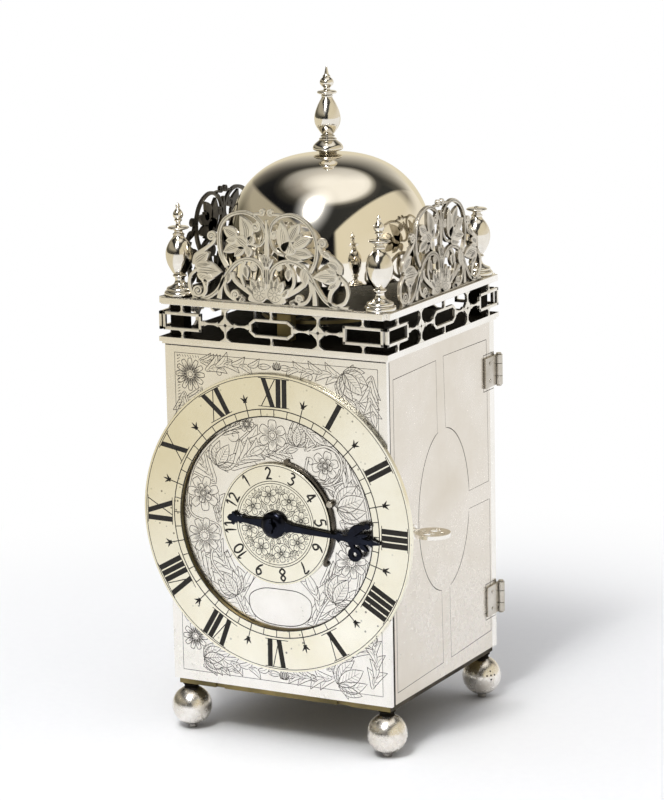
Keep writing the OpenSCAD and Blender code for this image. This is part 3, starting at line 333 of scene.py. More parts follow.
def graven(name, marks, lie, body, slot, finish=waxed):
    cuts = bpy.data.curves.new(name, "CURVE")
    cuts.dimensions = "3D"
    cuts.twist_mode = "Z_UP"
    cuts.bevel_depth = 0.5
    cuts.bevel_resolution = 0
    cuts.use_fill_caps = True
    for wide, path in marks:
        closed = len(path) > 3 and hypot(path[0][0] - path[-1][0], path[0][1] - path[-1][1]) < 0.01
        path = path[:-1] if closed else path
        cut = cuts.splines.new("POLY")
        cut.points.add(len(path) - 1)
        cut.use_cyclic_u = closed
        last = len(path) - 1
        for i, (point, (u, v)) in enumerate(zip(cut.points, path)):
            point.co = (u, v, 0, 1)
            point.radius = wide if closed or last < 3 else wide * min(1, 0.4 + 0.3 * min(i, last - i))
    drawn = bpy.data.objects.new(name, cuts)
    scene.collection.objects.link(drawn)
    bpy.context.view_layer.update()
    shape = bmesh.new()
    shape.from_mesh(bpy.data.meshes.new_from_object(drawn.evaluated_get(bpy.context.evaluated_depsgraph_get())))
    bpy.data.objects.remove(drawn)
    shallow = 0.25
    bmesh.ops.scale(shape, vec=(1, 1, shallow), verts=shape.verts)
    bmesh.ops.transform(shape, matrix=Matrix.Scale(0.001, 4) @ lie, verts=shape.verts)
    bmesh.ops.recalc_face_normals(shape, faces=shape.faces)
    return fitted(name, shape, body, slot, finish)


def swung(x, z, lie, along, aside=0.0):
    a = radians(lie)
    return x + along * cos(a) - aside * sin(a), z + along * sin(a) + aside * cos(a)


def arc(x, z, r, start=0, end=360, steps=48):
    return [swung(x, z, start + (end - start) * i / steps, r) for i in range(steps + 1)]


covered = {}
tile = 4


def cover(edge):
    us, vs = zip(*edge)
    for i in range(int(min(us) // tile), int(max(us) // tile) + 1):
        for j in range(int(min(vs) // tile), int(max(vs) // tile) + 1):
            covered.setdefault((i, j), []).append(edge)


def hidden(u, v):
    for edge in covered.get((int(u // tile), int(v // tile)), ()):
        odd = False
        for (au, av), (bu, bv) in zip(edge, edge[1:] + edge[:1]):
            if (av > v) != (bv > v) and u < au + (v - av) * (bu - au) / (bv - av):
                odd = not odd
        if odd:
            return True
    return False


stroke_step = 0.3


def grown(marks, edge=None):
    kept = []
    for wide, path in marks:
        runs = [[]]
        for (au, av), (bu, bv) in zip(path, path[1:]):
            count = int(hypot(bu - au, bv - av) / stroke_step) + 1
            for i in range(count):
                point = au + (bu - au) * i / count, av + (bv - av) * i / count
                if not hidden(*point):
                    runs[-1].append(point)
                elif runs[-1]:
                    runs.append([])
        whole = len(runs) == 1 and runs[0]
        kept += [(wide, path)] if whole else [(wide, run) for run in runs if len(run) > 2]
    if edge:
        cover(edge)
    return kept


def bowed(x, z, lie, long, sway):
    def at(share, aside):
        return swung(x, z, lie, long * share, aside + sway * sin(pi * share))

    return at


def petal_edge(x, z, tip_x, tip_z, wide, sway=0.0):
    at = bowed(x, z, atan2(tip_z - z, tip_x - x) * 180 / pi, hypot(tip_x - x, tip_z - z), sway)
    one, other = (flowing([at(0, 0), at(0.12, s * 0.32), at(0.4, s * 0.52), at(0.7, s * 0.40), at(1, 0)], 3)
                  for s in (wide, -wide))
    return one + other[-2:0:-1]


def leaf(x, z, lie, long, wide, sway=0.0, veins=3, cut=0.22):
    at = bowed(x, z, lie, long, sway)
    edge = petal_edge(x, z, *at(1, 0), wide, sway)
    marks = [(cut, edge + edge[:1]), (0.14, flowing([at(0.04, 0), at(0.4, 0), at(0.86, 0)], 3))]
    for i in range(veins):
        share = 0.16 + 0.6 * i / veins
        for side in (-wide, wide):
            marks.append((0.11, [at(share, 0), at(share + 0.07, side * 0.18), at(share + 0.15, side * 0.36)]))
    return grown(marks, edge)


def bloom(x, z, heart, out, count, turn=0.0, fill=0.86, lines=5):
    middle_marks = [(0.22, arc(x, z, heart, steps=16)), (0.18, arc(x, z, heart * 0.55, steps=12))]
    middle_marks += [(0.12, [swung(x, z, a, heart * r) for r in (0.6, 0.75, 0.9)]) for a in range(0, 360, 30)]
    marks = grown(middle_marks, arc(x, z, heart, steps=16)[:-1])
    half = 180 / count
    for i in range(count):
        a = turn + 360 * i / count

        def at(r, side):
            return swung(x, z, a + side * half, r)

        middle = (heart + out) / 2
        edge = flowing([at(heart * 0.9, -fill * 0.5), at(middle, -fill), at(out * 0.97, -fill * 0.55),
                        at(out, 0), at(out * 0.97, fill * 0.55), at(middle, fill),
                        at(heart * 0.9, fill * 0.5)], 3)
        folds = [(0.23, edge)]
        for j in range(lines):
            side = (j - (lines - 1) / 2) * 1.1 / lines
            reach = 0.05, 0.3, 0.66 - abs(side) * 0.5
            folds.append((0.11, [at(heart + (out - heart) * r, side) for r in reach]))
        marks += grown(folds, edge)
    return marks


def tulip(x, z, lie, long):
    marks = leaf(x, z, lie, long, long * 0.46, veins=5)
    for turn, share, wide, sway in ((24, 0.98, 0.36, 0.12), (50, 0.84, 0.30, 0.06), (84, 0.52, 0.24, -0.1)):
        for side in (-1, 1):
            marks += leaf(x, z, lie + side * turn, long * share, long * wide, sway=side * long * sway,
                          veins=4)
    return marks


def tendril(x, z, r, start, turns, cut=0.2):
    return grown([(cut, [swung(x, z, start + 360 * turns * i / 22, r * (1 - i / 24)) for i in range(23)])])


def acanthus(knots, wide, lobes=7):
    path = flowing(knots, 8)
    last = len(path) - 1
    marks = []
    for i in range(lobes, -1, -1):
        k = int(0.86 * i / lobes * last)
        lie = atan2(path[k + 1][1] - path[k][1], path[k + 1][0] - path[k][0]) * 180 / pi
        long = wide * (4.6 - 1.6 * i / lobes)
        side = 0 if i == lobes else 1 - 2 * (i % 2)
        marks += leaf(*path[k], lie + side * 30, long, long * 0.36, sway=-side * long * 0.17, veins=i % 2)
    return marks


def beside(path, gap):
    off = []
    for i, (u, v) in enumerate(path):
        (au, av), (bu, bv) = path[max(i - 1, 0)], path[min(i + 1, len(path) - 1)]
        reach = hypot(bu - au, bv - av)
        off.append((u - (bv - av) * gap / reach, v + (bu - au) * gap / reach))
    return off


dial_z = 75.8
plate_face = -39.8
left, right, low, high = -37.6, 38.0, 21.4, 130.2
marks = [(0.26, [(left, low), (right, low), (right, high), (left, high), (left, low)])]
marks += [(0.2, [(left + 0.9, z), (left + 1.9, z + 0.5)]) for z in range(100, 130)]
marks += [(0.18, [(left + 0.9 + i, high - 0.5), (left + 1.3 + i, high - 1.3)]) for i in range(9)]
blooms = [(-1.2, 105.2, 1.6, 5.2, 6, 90), (-10.8, 108.2, 0.9, 2.7, 6, 0), (-28.0, 83.2, 1.0, 3.3, 5, 40),
          (-28.0, 83.2, 1.6, 5.9, 7, 20), (-28.0, 68.8, 2.0, 6.0, 9, 0), (18.2, 96.8, 0.9, 2.7, 5, 50),
          (18.2, 96.8, 1.4, 4.9, 6, 15), (27.2, 65.4, 1.6, 5.4, 8, 10), (-31.8, 123.2, 1.5, 5.4, 12, 0),
          (-32.6, 33.4, 1.3, 4.6, 10, 0)]
shield = flowing([(0.6, 53.4), (7.6, 53.0), (11.9, 50.0), (11.2, 44.6), (5.6, 41.4), (-4.6, 41.4),
                  (-10.2, 44.4), (-11.2, 50.0), (-6.4, 53.0)], 6, loop=True)
marks.append((0.3, shield + shield[:1]))
cover(shield)
for x, z, heart, out, count, turn in blooms:
    marks += bloom(x, z, heart, out, count, turn)
buds = [(7.6, 102.4, 84, 6.6), (-22.4, 93.2, 58, 8.8), (22.4, 83.0, 24, 11.0), (-16.2, 49.6, 124, 8.6),
        (20.6, 51.0, 58, 10.0), (25.4, 128.0, -44, 9.6), (21.6, 23.4, 32, 11.0), (-29.4, 26.2, 8, 8.0),
        (1.2, 22.6, 90, 3.0), (1.0, 127.2, 90, 2.6)]
for x, z, lie, long in buds:
    marks += tulip(x, z, lie, long)
sprays = [([(-9.0, 42.4), (-13.6, 45.8), (-14.2, 50.0), (-12.2, 54.4)], 2.1),
          ([(9.6, 42.4), (14.0, 45.6), (15.0, 50.4), (13.0, 54.8)], 2.1),
          ([(-13.0, 43.8), (-18.6, 46.4), (-21.8, 49.2)], 1.8),
          ([(13.4, 43.8), (19.0, 46.4), (22.4, 49.6)], 1.8),
          ([(-14.6, 55.4), (-20.6, 60.0), (-22.6, 64.8)], 1.7),
          ([(15.6, 55.8), (20.4, 59.8), (22.6, 63.2)], 1.6),
          ([(-24.6, 51.6), (-28.6, 57.0), (-31.8, 61.6)], 1.8),
          ([(29.4, 55.4), (32.0, 59.4), (33.8, 63.8)], 1.4),
          ([(-22.4, 73.6), (-21.8, 77.8), (-22.6, 81.6)], 1.3),
          ([(-33.6, 74.0), (-34.2, 76.4), (-33.8, 78.4)], 1.0),
          ([(-22.8, 87.0), (-26.6, 91.2), (-29.4, 95.6)], 1.9),
          ([(-32.6, 88.4), (-31.6, 92.0), (-29.0, 97.0)], 1.1),
          ([(-17.6, 92.0), (-13.2, 96.0), (-8.4, 98.8)], 1.8),
          ([(-14.4, 101.4), (-9.6, 102.6), (-6.8, 101.2)], 1.6),
          ([(-20.4, 103.6), (-16.4, 106.8), (-13.6, 107.6)], 1.1),
          ([(-4.6, 98.4), (0.4, 99.4), (5.0, 100.6)], 1.2),
          ([(5.2, 106.6), (9.4, 109.2), (14.6, 106.4)], 1.7),
          ([(11.0, 100.8), (13.6, 104.2), (19.4, 104.6)], 1.5),
          ([(11.4, 92.8), (16.0, 90.4), (20.4, 91.6)], 1.3),
          ([(20.2, 105.2), (25.4, 101.2), (29.2, 95.0)], 1.9),
          ([(24.2, 98.6), (27.4, 93.8), (30.8, 91.0)], 1.5),
          ([(21.4, 86.6), (20.8, 90.0), (24.0, 93.2)], 1.2),
          ([(23.0, 78.6), (28.4, 76.4), (33.8, 77.6)], 1.5),
          ([(22.6, 72.6), (24.6, 71.6), (27.6, 72.4)], 1.0)]
sprays += [([(-26.0, 124.8), (-19.0, 127.4), (-11.0, 127.6), (-2.0, 128.0)], 1.5),
           ([(26.0, 126.6), (18.0, 127.6), (10.0, 127.8), (3.4, 128.0)], 1.5),
           ([(-28.4, 128.0), (-23.0, 128.2), (-17.4, 128.8)], 1.1),
           ([(-34.4, 117.4), (-35.0, 111.0), (-36.2, 103.0)], 1.6),
           ([(-27.6, 119.4), (-30.0, 115.4), (-34.4, 109.4)], 1.3),
           ([(35.6, 128.2), (35.0, 122.0), (36.4, 114.0)], 1.7),
           ([(30.0, 119.4), (33.4, 113.6), (36.6, 106.4)], 1.3),
           ([(22.4, 124.6), (24.6, 122.0), (28.4, 118.6)], 1.2),
           ([(-26.4, 28.8), (-19.4, 26.0), (-10.0, 24.6), (-1.0, 24.0)], 1.5),
           ([(20.6, 25.4), (13.6, 24.4), (8.0, 24.2), (3.0, 24.0)], 1.5),
           ([(-30.0, 23.4), (-24.4, 23.4), (-16.0, 23.2)], 1.2),
           ([(-35.0, 38.4), (-35.8, 44.0), (-36.6, 50.4)], 1.4),
           ([(-28.8, 36.4), (-31.8, 40.4), (-35.4, 46.0)], 1.1),
           ([(34.2, 23.4), (35.8, 30.0), (35.2, 37.0), (36.8, 46.0)], 1.5),
           ([(26.6, 33.4), (30.4, 37.2), (34.4, 42.4)], 1.4),
           ([(17.4, 27.6), (20.6, 30.0), (25.4, 32.4)], 1.2)]
curls = [(-15.6, 104.0, 2.6, 200, 1.2), (24.6, 90.2, 2.4, 20, -1.3), (20.6, 60.0, 2.2, 120, 1.3),
         (-19.4, 63.6, 2.0, 60, -1.2), (-31.4, 55.4, 2.0, 250, 1.2), (31.6, 70.8, 2.0, 300, 1.2),
         (12.6, 97.6, 1.8, 160, -1.2), (-22.8, 78.0, 1.7, 90, 1.2), (-20.4, 124.6, 1.8, 30, 1.2),
         (13.0, 125.6, 1.7, 150, -1.2), (33.6, 109.0, 1.7, 90, 1.2), (-34.8, 111.0, 1.7, 90, -1.2),
         (-16.6, 24.6, 1.7, 210, 1.2), (12.4, 24.8, 1.7, 330, -1.2), (34.6, 40.6, 1.8, 270, 1.2),
         (-35.0, 43.4, 1.6, 270, -1.2)]
stems = [[(-13.0, 42.6), (-17.6, 51.0), (-25.6, 61.0), (-22.0, 72.0), (-33.2, 76.4), (-31.6, 91.4),
          (-21.4, 103.4), (-8.0, 109.6)],
         [(13.0, 42.6), (17.8, 51.0), (25.6, 58.6), (33.4, 73.0), (31.6, 89.6), (23.0, 103.4), (10.6, 110.0)],
         [(12.0, 99.4), (11.2, 94.4), (15.0, 90.6), (20.6, 91.0), (24.2, 95.4), (23.4, 100.6), (18.6, 103.2),
          (13.4, 101.8)]]
for x, z, r, start, turns in curls:
    marks += tendril(x, z, r, start, turns)
for knots in stems:
    one, other = (beside(flowing(knots, 8), gap) for gap in (-0.4, 0.4))
    marks += grown([(0.22, one), (0.22, other)], one + other[::-1])
dial_opening = 36
for knots, wide in sprays:
    in_dial = hypot(knots[1][0], knots[1][1] - dial_z) < dial_opening
    marks += acanthus(knots, wide * (1.35 if in_dial else 1.1))
covered.clear()
# Painted shadow: a dark wax arc just inside the ring on its lower left stands for the ring's shadow on the
# plate.
marks.append((0.4, arc(0, dial_z, 35.6, 128, 258)))
# Painted shadow: a dark line along the top of the plate stands for the shadow under the cornice.
marks.append((0.5, [(-41.0, 132.72), (41.0, 132.72)]))
facing = Matrix.Rotation(pi / 2, 4, "X")
graven("front_engraving", marks, Matrix.Translation((0, plate_face, 0)) @ facing, "case", "case_silver")


# Back plate: plain silver sheet, its side edges folded forward to meet the doors, with two holes for the
# winding keys.
eased("back_plate", "case", "case_silver", satin_silver)


# Doors: thin silver sheet, scribed with panels around an oval. Each carries its own hinge leaves, riveted on,
# and swings on two hard drawn silver pins.
# Painted shade: the doors take a greyer copy of the front plate's silver, standing for the lesser light on the
# sides.
shaded_door_silver = worked_metal("shaded_door_silver", (0.80, 0.75, 0.68), (0.72, 0.66, 0.57), 0.30, clouds=32,
                           relief=0.05)
hinge_silver = worked_metal("hinge_silver", (0.66, 0.62, 0.56), (0.42, 0.38, 0.31), 0.26, spots=0.8,
                            hollow_shade_and_tarnish=0.9)


def oval_stretch(start, end):
    turns = [radians(a) for a in range(start, end + 1, 4)]
    return (0.32, [(0.3 + 18.9 * cos(a), 75.5 + 27.6 * sin(a)) for a in turns])


panels = [[(-4.1, 102.6), (-4.6, 126.9), (-35.4, 126.3), (-35.4, 21.9), (-1.8, 23.0), (-2.4, 48.2)],
          [(2.0, 103.0), (0.8, 127.4), (33.7, 127.0), (34.5, 77.6), (19.2, 77.6)],
          [(19.1, 71.4), (35.0, 71.2), (35.3, 24.4), (4.2, 23.2), (3.7, 48.2)]]
door_marks = [(0.32, knots) for knots in panels]
door_marks += [oval_stretch(4, 84), oval_stretch(102, 262), oval_stretch(282, 352)]
door_face = 41.2
outward = Matrix(((0, 0, 1, door_face), (1, 0, 0, 0), (0, 1, 0, 0), (0, 0, 0, 1)))
door_marks += [(1.2, [(-37.7, 18.2), (-37.7, 70.0)]), (0.8, [(-37.9, 70.0), (-37.9, 96.0)])]
door_marks.append((0.5, [(-38.0, 96.0), (-38.0, 132.4)]))
# Painted shadow: dark wax outlines round the hinge leaves stand for the shadow at their edges.
for z in (35.3, 115.5):
    door_marks.append((0.5, [(39.4, z - 6.3), (31.3, z - 6.3), (31.3, z + 6.3), (39.4, z + 6.3)]))
for hand, side in ((1, "right"), (-1, "left")):
    eased(side + "_door", side + "_side", "case_silver", shaded_door_silver)
    lie = Matrix.Scale(hand, 4, (1, 0, 0)) @ outward
    graven(side + "_door_scribing", door_marks, lie, side + "_side", "case_silver")
    eased(side + "_door_leaves", side + "_side", "case_silver", hinge_silver, 0.1)
eased("case_hinge_leaves", "case", "case_silver", hinge_silver, 0.1)
eased("hinge_pins", "case", "case_silver", hinge_silver, 0.1)


# Door latches: a turned collar and spindle with a pierced bow outside to turn them by, and a cam inside that
# catches the front plate's edge.
for hand, side in ((1, "right"), (-1, "left")):
    eased(side + "_latch", side + "_bow", "case_silver", satin_silver, 0.12)


# Lower cornice: a silver plate with two steps filed along its edges. Short blackened posts stand on it at the
# corners of the open gallery.
cornice = eased("lower_cornice", "case", "case_silver", satin_silver, 0.15).data
blackened_and_shade = worked_metal("blackened_and_shade", (0.010, 0.009, 0.008), (0.026, 0.021, 0.014), 0.8)


# Painted shade: the cornice's silver top inside the frets takes the near-black metal, standing for the shade
# inside the gallery. The gallery posts are truly blackened.
def inside_frets(centre, normal):
    return normal.z > 0.5 and abs(centre.x) < 0.0405 and abs(centre.y) < 0.0395


second_finish(cornice, blackened_and_shade, inside_frets)
eased("gallery_posts", "case", "dark_metal", blackened_and_shade)


# Gallery frets: four silver strips sawn from sheet, each with a long link between crosses and end boxes. Short
# flared pegs tie them to the plates above and below, and their edges are filed round.
fret_silver = worked_metal("fret_silver", (0.92, 0.89, 0.82), (0.76, 0.72, 0.64), 0.33, clouds=120,
                           relief=0.2, hollow_shade_and_tarnish=0.55)


def cut_out(shape, outline, back, front, ease=0.14):
    sheet = shape.faces.new([shape.verts.new((u, v, back)) for u, v in outline])
    drawn_up = bmesh.ops.extrude_face_region(shape, geom=[sheet])["geom"]
    raised = [part for part in drawn_up if isinstance(part, bmesh.types.BMVert)]
    rim = [part for part in drawn_up if isinstance(part, bmesh.types.BMEdge)]
    bmesh.ops.translate(shape, vec=(0, 0, front - back), verts=raised)
    bmesh.ops.bevel(shape, geom=rim, offset=ease, segments=2, profile=0.5, affect="EDGES", material=-1,
                    clamp_overlap=True)


def strap(path, wide, tail=None):
    tail = wide if tail is None else tail
    sides = [], []
    for i, (u, v) in enumerate(path):
        (au, av), (bu, bv) = path[max(i - 1, 0)], path[min(i + 1, len(path) - 1)]
        half = (wide + (tail - wide) * i / (len(path) - 1)) / 2 / hypot(bu - au, bv - av)
        for side, sign in zip(sides, (1, -1)):
            side.append((u - sign * (bv - av) * half, v + sign * (bu - au) * half))
    return sides[0] + sides[1][::-1]


def placed(shape, lie):
    bmesh.ops.transform(shape, matrix=Matrix.Scale(0.001, 4) @ lie, verts=shape.verts)
    bmesh.ops.recalc_face_normals(shape, faces=shape.faces)
    return shape


def flared(u, v, reach, waist, foot, up):
    sides = [(waist / 2, 0), (waist / 2 * 1.15, 0.45), (waist / 2 + (foot - waist) * 0.2, 0.72),
             (foot / 2, 1)]
    return [(u + half, v + up * reach * share) for half, share in sides] + \
           [(u - half, v + up * reach * share) for half, share in sides[::-1]]


def gallery_fret():
    shape = bmesh.new()
    mid = 140.9
    for hand in (-1, 1):
        for y in (-2.55, 2.55):
            cut_out(shape, strap([(hand * 26.3, mid + y), (hand * 40.9, mid + y)], 1.0), 0, 1)
        for x in (26.8, 40.4):
            cut_out(shape, strap([(hand * x, mid - 3.05), (hand * x, mid + 3.05)], 1.0), 0, 1)
        for quarter in range(4):
            hub = [(0.5, 0.0), (3.4, 0.0), (3.3, 0.32), (2.2, 0.62), (1.45, 1.45), (0.62, 2.2), (0.32, 3.3),
                   (0.0, 3.4), (0.0, 0.5), (0.35, 0.35)]
            turn = Matrix.Rotation(quarter * pi / 2, 2)
            middle = Vector((hand * 17.2, mid - 0.1))
            cut_out(shape, [tuple(turn @ Vector(point) + middle) for point in hub], 0, 1)
        for end in (flared(0, 0, 2.6, 0.6, 1.9, 1), flared(0, 0, 2.6, 0.6, 1.9, -1)):
            cut_out(shape, [(hand * (22.6 + v), mid + u) for u, v in end], 0, 0.96)
            cut_out(shape, [(hand * (11.4 + v), mid - 0.1 + u) for u, v in end], 0, 0.96)
        for up in (-1, 1):
            cut_out(shape, flared(hand * 17.2, mid + up * 3.1, 2.45, 0.75, 4.8, up), 0, 0.98)
            cut_out(shape, flared(hand * 33.6, mid + up * 4.4, 1.15, 0.7, 1.6, up), 0, 0.98)
            cut_out(shape, flared(hand * 33.6, mid + up * 4.5, 1.5, 0.7, 2.6, -up), 0, 0.98)
        cut_out(shape, arc(hand * 25.9, mid, 0.85, steps=12)[:-1], 0, 0.98)
        cut_out(shape, arc(hand * 8.6, mid - 0.1, 0.8, steps=12)[:-1], 0, 0.98)
        link = [(0, 3.1), (6.2, 3.1), (8.3, 1.5), (8.3, -1.5), (6.2, -3.1), (0, -3.1)]
        inner = [(0, 2.15), (5.75, 2.15), (7.35, 1.1), (7.35, -1.1), (5.75, -2.15), (0, -2.15)]
        for (a, b), (c, d) in zip(zip(link, link[1:]), zip(inner, inner[1:])):
            cut_out(shape, [(hand * u, mid - 0.1 + v) for u, v in (a, b, d, c)], 0, 1)
    for up in (-1, 1):
        cut_out(shape, flared(0, mid + up * 4.3, 1.25, 0.65, 1.5, up), 0, 0.98)
        cut_out(shape, flared(0, mid + up * 4.4, 1.9, 0.65, 2.9, -up), 0, 0.98)
    return shape


rightward = Matrix(((0, 0, 1, 0), (1, 0, 0, 0), (0, 1, 0, 0), (0, 0, 0, 1)))
about = Matrix.Rotation(pi, 4, "Z")
fret_front = Matrix.Translation((0, -40.15, 0)) @ facing
fret_right = Matrix.Translation((41.55, 0, 0)) @ rightward
strips = {"front": fret_front, "right": fret_right, "back": about @ fret_front, "left": about @ fret_right}
for side, lie in strips.items():
    sawn = placed(gallery_fret(), lie)
    fitted(side + "_fret", sawn, "case", "fret_silver", fret_silver, side + "_gallery_strip")


# Top plate: blackened brass over the gallery, with a pale silver strip soldered along each edge. The strips
# stop short of the corners.
deck_metal = worked_metal("deck_metal", (0.022, 0.019, 0.016), (0.012, 0.010, 0.009), 0.30)
eased("top_plate", "case", "dark_metal", deck_metal)
eased("top_mouldings", "case", "case_silver", satin_silver, 0.2, 3)


# Crest frets: silver sheet sawn into two flower rings over scrolls, with a leafy foot and a tulip at each end,
# then chased with the graver. One stands on the front, the right and the left edge.
def petal_marks(x, z, tip_x, tip_z, wide, sway=0.0):
    at = bowed(x, z, atan2(tip_z - z, tip_x - x) * 180 / pi, hypot(tip_x - x, tip_z - z), sway)
    marks = [(0.11, flowing([at(0.12, 0), at(0.5, 0), at(0.86, 0)], 4))]
    for side in (-0.24, 0.24):
        fold = [at(0.16, side * wide * 0.8), at(0.45, side * wide), at(0.74, side * wide * 0.6)]
        marks.append((0.09, flowing(fold, 4)))
    return marks


def curl(x, z, r, start, turns, steps=26):
    return [swung(x, z, start + 360 * turns * i / steps, r * (1 - 0.82 * i / steps))
            for i in range(steps + 1)]


straps = [([(-16.3, 160.2), (-18.5, 164.3), (-19.1, 170.0), (-17.7, 174.6), (-14.4, 177.4), (-9.5, 178.5),
            (-5.0, 177.0), (-2.4, 174.0), (-1.9, 170.6), (-3.8, 168.0), (-6.8, 168.2)], 1.25, 0.8),
          ([(14.7, 160.2), (16.6, 164.0), (17.1, 169.0), (15.7, 173.6), (12.6, 176.8), (8.0, 178.5),
            (3.6, 177.6), (0.8, 175.0), (0.0, 171.5), (0.7, 168.2), (2.6, 166.0), (5.2, 165.2)], 1.25, 0.8),
          ([(-29.6, 149.4), (-24.4, 149.5), (-20.4, 151.9), (-17.4, 156.2), (-14.4, 160.2), (-11.4, 162.4),
            (-8.0, 163.2), (-5.0, 162.4), (-3.0, 160.4), (-2.5, 157.4)], 1.2, 1.4),
          ([(28.4, 149.4), (24.4, 149.5), (20.2, 151.2), (17.2, 154.9), (14.5, 159.4), (11.6, 162.0),
            (8.0, 163.3), (4.4, 162.9), (1.5, 161.2), (0.2, 159.2), (-0.2, 156.8)], 1.2, 1.4),
          ([(-9.4, 162.6), (-10.7, 160.0), (-10.9, 157.2), (-9.8, 154.2)], 1.3, 0.9),
          ([(5.8, 162.8), (7.9, 160.4), (8.7, 157.4), (7.8, 154.6), (4.6, 152.4)], 1.3, 1.0),
          ([(-14.0, 158.8), (-13.6, 156.2), (-10.8, 154.0), (-6.6, 151.6)], 1.1, 1.5),
          ([(12.6, 156.4), (9.6, 154.2), (6.0, 152.2), (3.4, 151.2)], 1.6, 1.3),
          ([(-16.2, 157.6), (-17.2, 154.4), (-16.2, 151.4), (-13.6, 149.8), (-11.4, 149.8)], 0.95, 1.2),
          ([(14.2, 157.6), (14.8, 154.4), (13.9, 151.5), (11.8, 149.9), (8.2, 149.8)], 0.95, 1.2),
          ([(-17.4, 157.2), (-18.7, 153.4), (-19.4, 149.5)], 1.1, 1.7),
          ([(15.3, 157.2), (16.0, 153.4), (16.2, 149.5)], 1.1, 1.6),
          ([(-27.6, 158.8), (-30.1, 156.4), (-30.6, 153.2), (-29.2, 150.4), (-26.2, 149.4)], 1.0, 1.2),
          ([(25.2, 159.4), (27.5, 157.2), (28.2, 154.0), (27.0, 151.2), (24.2, 149.8)], 1.1, 1.2),
          ([(-27.0, 157.8), (-24.9, 154.8), (-24.5, 151.8), (-25.9, 150.1), (-27.9, 149.9)], 1.7, 0.9),
          ([(24.9, 160.0), (24.7, 157.4), (22.2, 154.4), (21.5, 151.2), (22.3, 149.6)], 1.6, 1.2),
          ([(-28.5, 160.2), (-27.9, 163.2), (-24.2, 165.8), (-21.2, 168.0), (-20.2, 169.9)], 1.5, 0.9),
          ([(25.2, 160.4), (25.4, 162.8), (22.4, 165.2), (19.2, 166.6), (17.9, 169.5)], 1.9, 0.9),
          ([(-6.4, 177.9), (-4.4, 178.3), (-3.0, 178.2)], 0.8, 0.6),
          ([(4.4, 178.2), (2.4, 178.4), (0.8, 178.3)], 0.8, 0.6)]
curls = [(-5.2, 174.0, 1.7, 80, -1.9), (1.6, 171.9, 1.5, 150, 1.9), (-21.8, 170.0, 1.6, 0, 1.7),
         (19.2, 170.0, 1.5, 180, -1.7), (-2.7, 179.0, 1.0, -110, 1.6), (0.4, 179.0, 1.0, -70, -1.6),
         (-6.0, 160.8, 1.4, 60, 1.8), (3.1, 161.3, 1.3, 120, -1.8), (-27.4, 151.7, 1.9, -60, -1.8),
         (-13.3, 151.3, 1.5, -160, -1.6), (10.3, 151.3, 1.4, -20, 1.6)]
petals = [(-9.0, 168.4, -11.0, 177.6, 3.2, -1.5), (-11.8, 170.6, -17.4, 173.4, 2.4, 0.3),
          (-12.2, 169.4, -16.4, 168.9, 1.7, 0.0), (-11.0, 167.8, -17.6, 165.0, 2.2, -0.3),
          (-9.4, 167.2, -13.4, 163.8, 1.9, -0.2), (-8.4, 167.6, -7.6, 163.9, 1.9, 0.2),
          (-8.6, 168.0, -5.9, 171.6, 1.9, -0.3), (-8.2, 167.2, -12.9, 170.6, 3.2, 0.0),
          (5.4, 166.2, 4.2, 176.6, 3.0, -0.2), (7.2, 169.6, 11.2, 176.2, 2.5, 0.3),
          (9.2, 169.8, 11.9, 172.7, 1.7, 0.0), (8.6, 168.2, 15.4, 171.6, 2.3, 0.2),
          (8.0, 166.4, 15.9, 165.8, 2.3, 0.2), (5.4, 165.4, 12.4, 163.9, 1.6, -0.3),
          (6.4, 165.6, 7.6, 170.4, 3.6, 0.0), (9.4, 166.0, 6.4, 169.2, 2.0, 0.0),
          (-1.4, 160.6, -1.4, 165.2, 1.3, 0.0), (-1.8, 160.6, -3.8, 165.0, 1.2, -0.4),
          (-1.0, 160.6, 1.1, 164.0, 1.2, 0.4), (-1.7, 160.6, -2.6, 165.3, 1.1, 0.0),
          (-1.1, 160.6, 0.0, 164.8, 1.1, 0.0), (-27.9, 158.6, -18.2, 158.3, 3.6, 0.2),
          (-28.4, 159.6, -21.6, 160.6, 1.9, 0.4), (-27.6, 157.2, -20.8, 156.2, 2.0, -0.5),
          (-28.6, 160.8, -22.6, 164.6, 2.8, 0.3), (25.0, 159.6, 15.3, 158.8, 2.6, -0.2),
          (24.4, 160.6, 20.4, 161.8, 1.6, 0.2), (24.6, 158.8, 19.4, 157.1, 1.6, -0.2),
          (25.0, 161.6, 20.8, 163.8, 1.8, -0.3), (22.4, 165.4, 18.6, 167.4, 1.2, 0.0),
          (24.4, 157.2, 20.9, 155.2, 1.5, 0.0), (-15.2, 159.0, -16.2, 154.6, 1.7, 0.0),
          (12.2, 161.8, 13.0, 155.4, 2.3, 0.2), (-9.3, 161.4, -8.6, 156.6, 1.7, -0.3),
          (6.7, 161.0, 6.6, 156.8, 1.7, 0.0), (-24.8, 156.0, -23.9, 152.6, 1.2, 0.2),
          (-5.2, 152.6, -7.5, 156.9, 1.8, 0.0), (-4.2, 153.2, -4.9, 157.0, 1.5, 0.0),
          (-2.4, 153.4, -2.8, 157.4, 1.5, 0.0), (0.4, 153.4, 0.4, 157.6, 1.5, 0.0),
          (1.6, 153.0, 2.6, 158.0, 1.6, 0.0), (2.4, 152.6, 4.8, 156.9, 1.8, 0.0),
          (-6.0, 151.6, -9.2, 154.8, 1.4, 0.2), (4.0, 151.4, 6.6, 154.6, 1.4, -0.2)]
foot = flowing([(-8.6, 149.9), (-7.6, 152.4), (-6.2, 154.6), (-3.6, 155.2), (-1.2, 154.2), (1.0, 155.2),
                (3.4, 154.6), (4.8, 152.4), (5.6, 150.0), (3.6, 149.1), (0.8, 149.2), (-1.3, 150.6),
                (-3.2, 149.2), (-6.4, 149.1)], 3, loop=True)
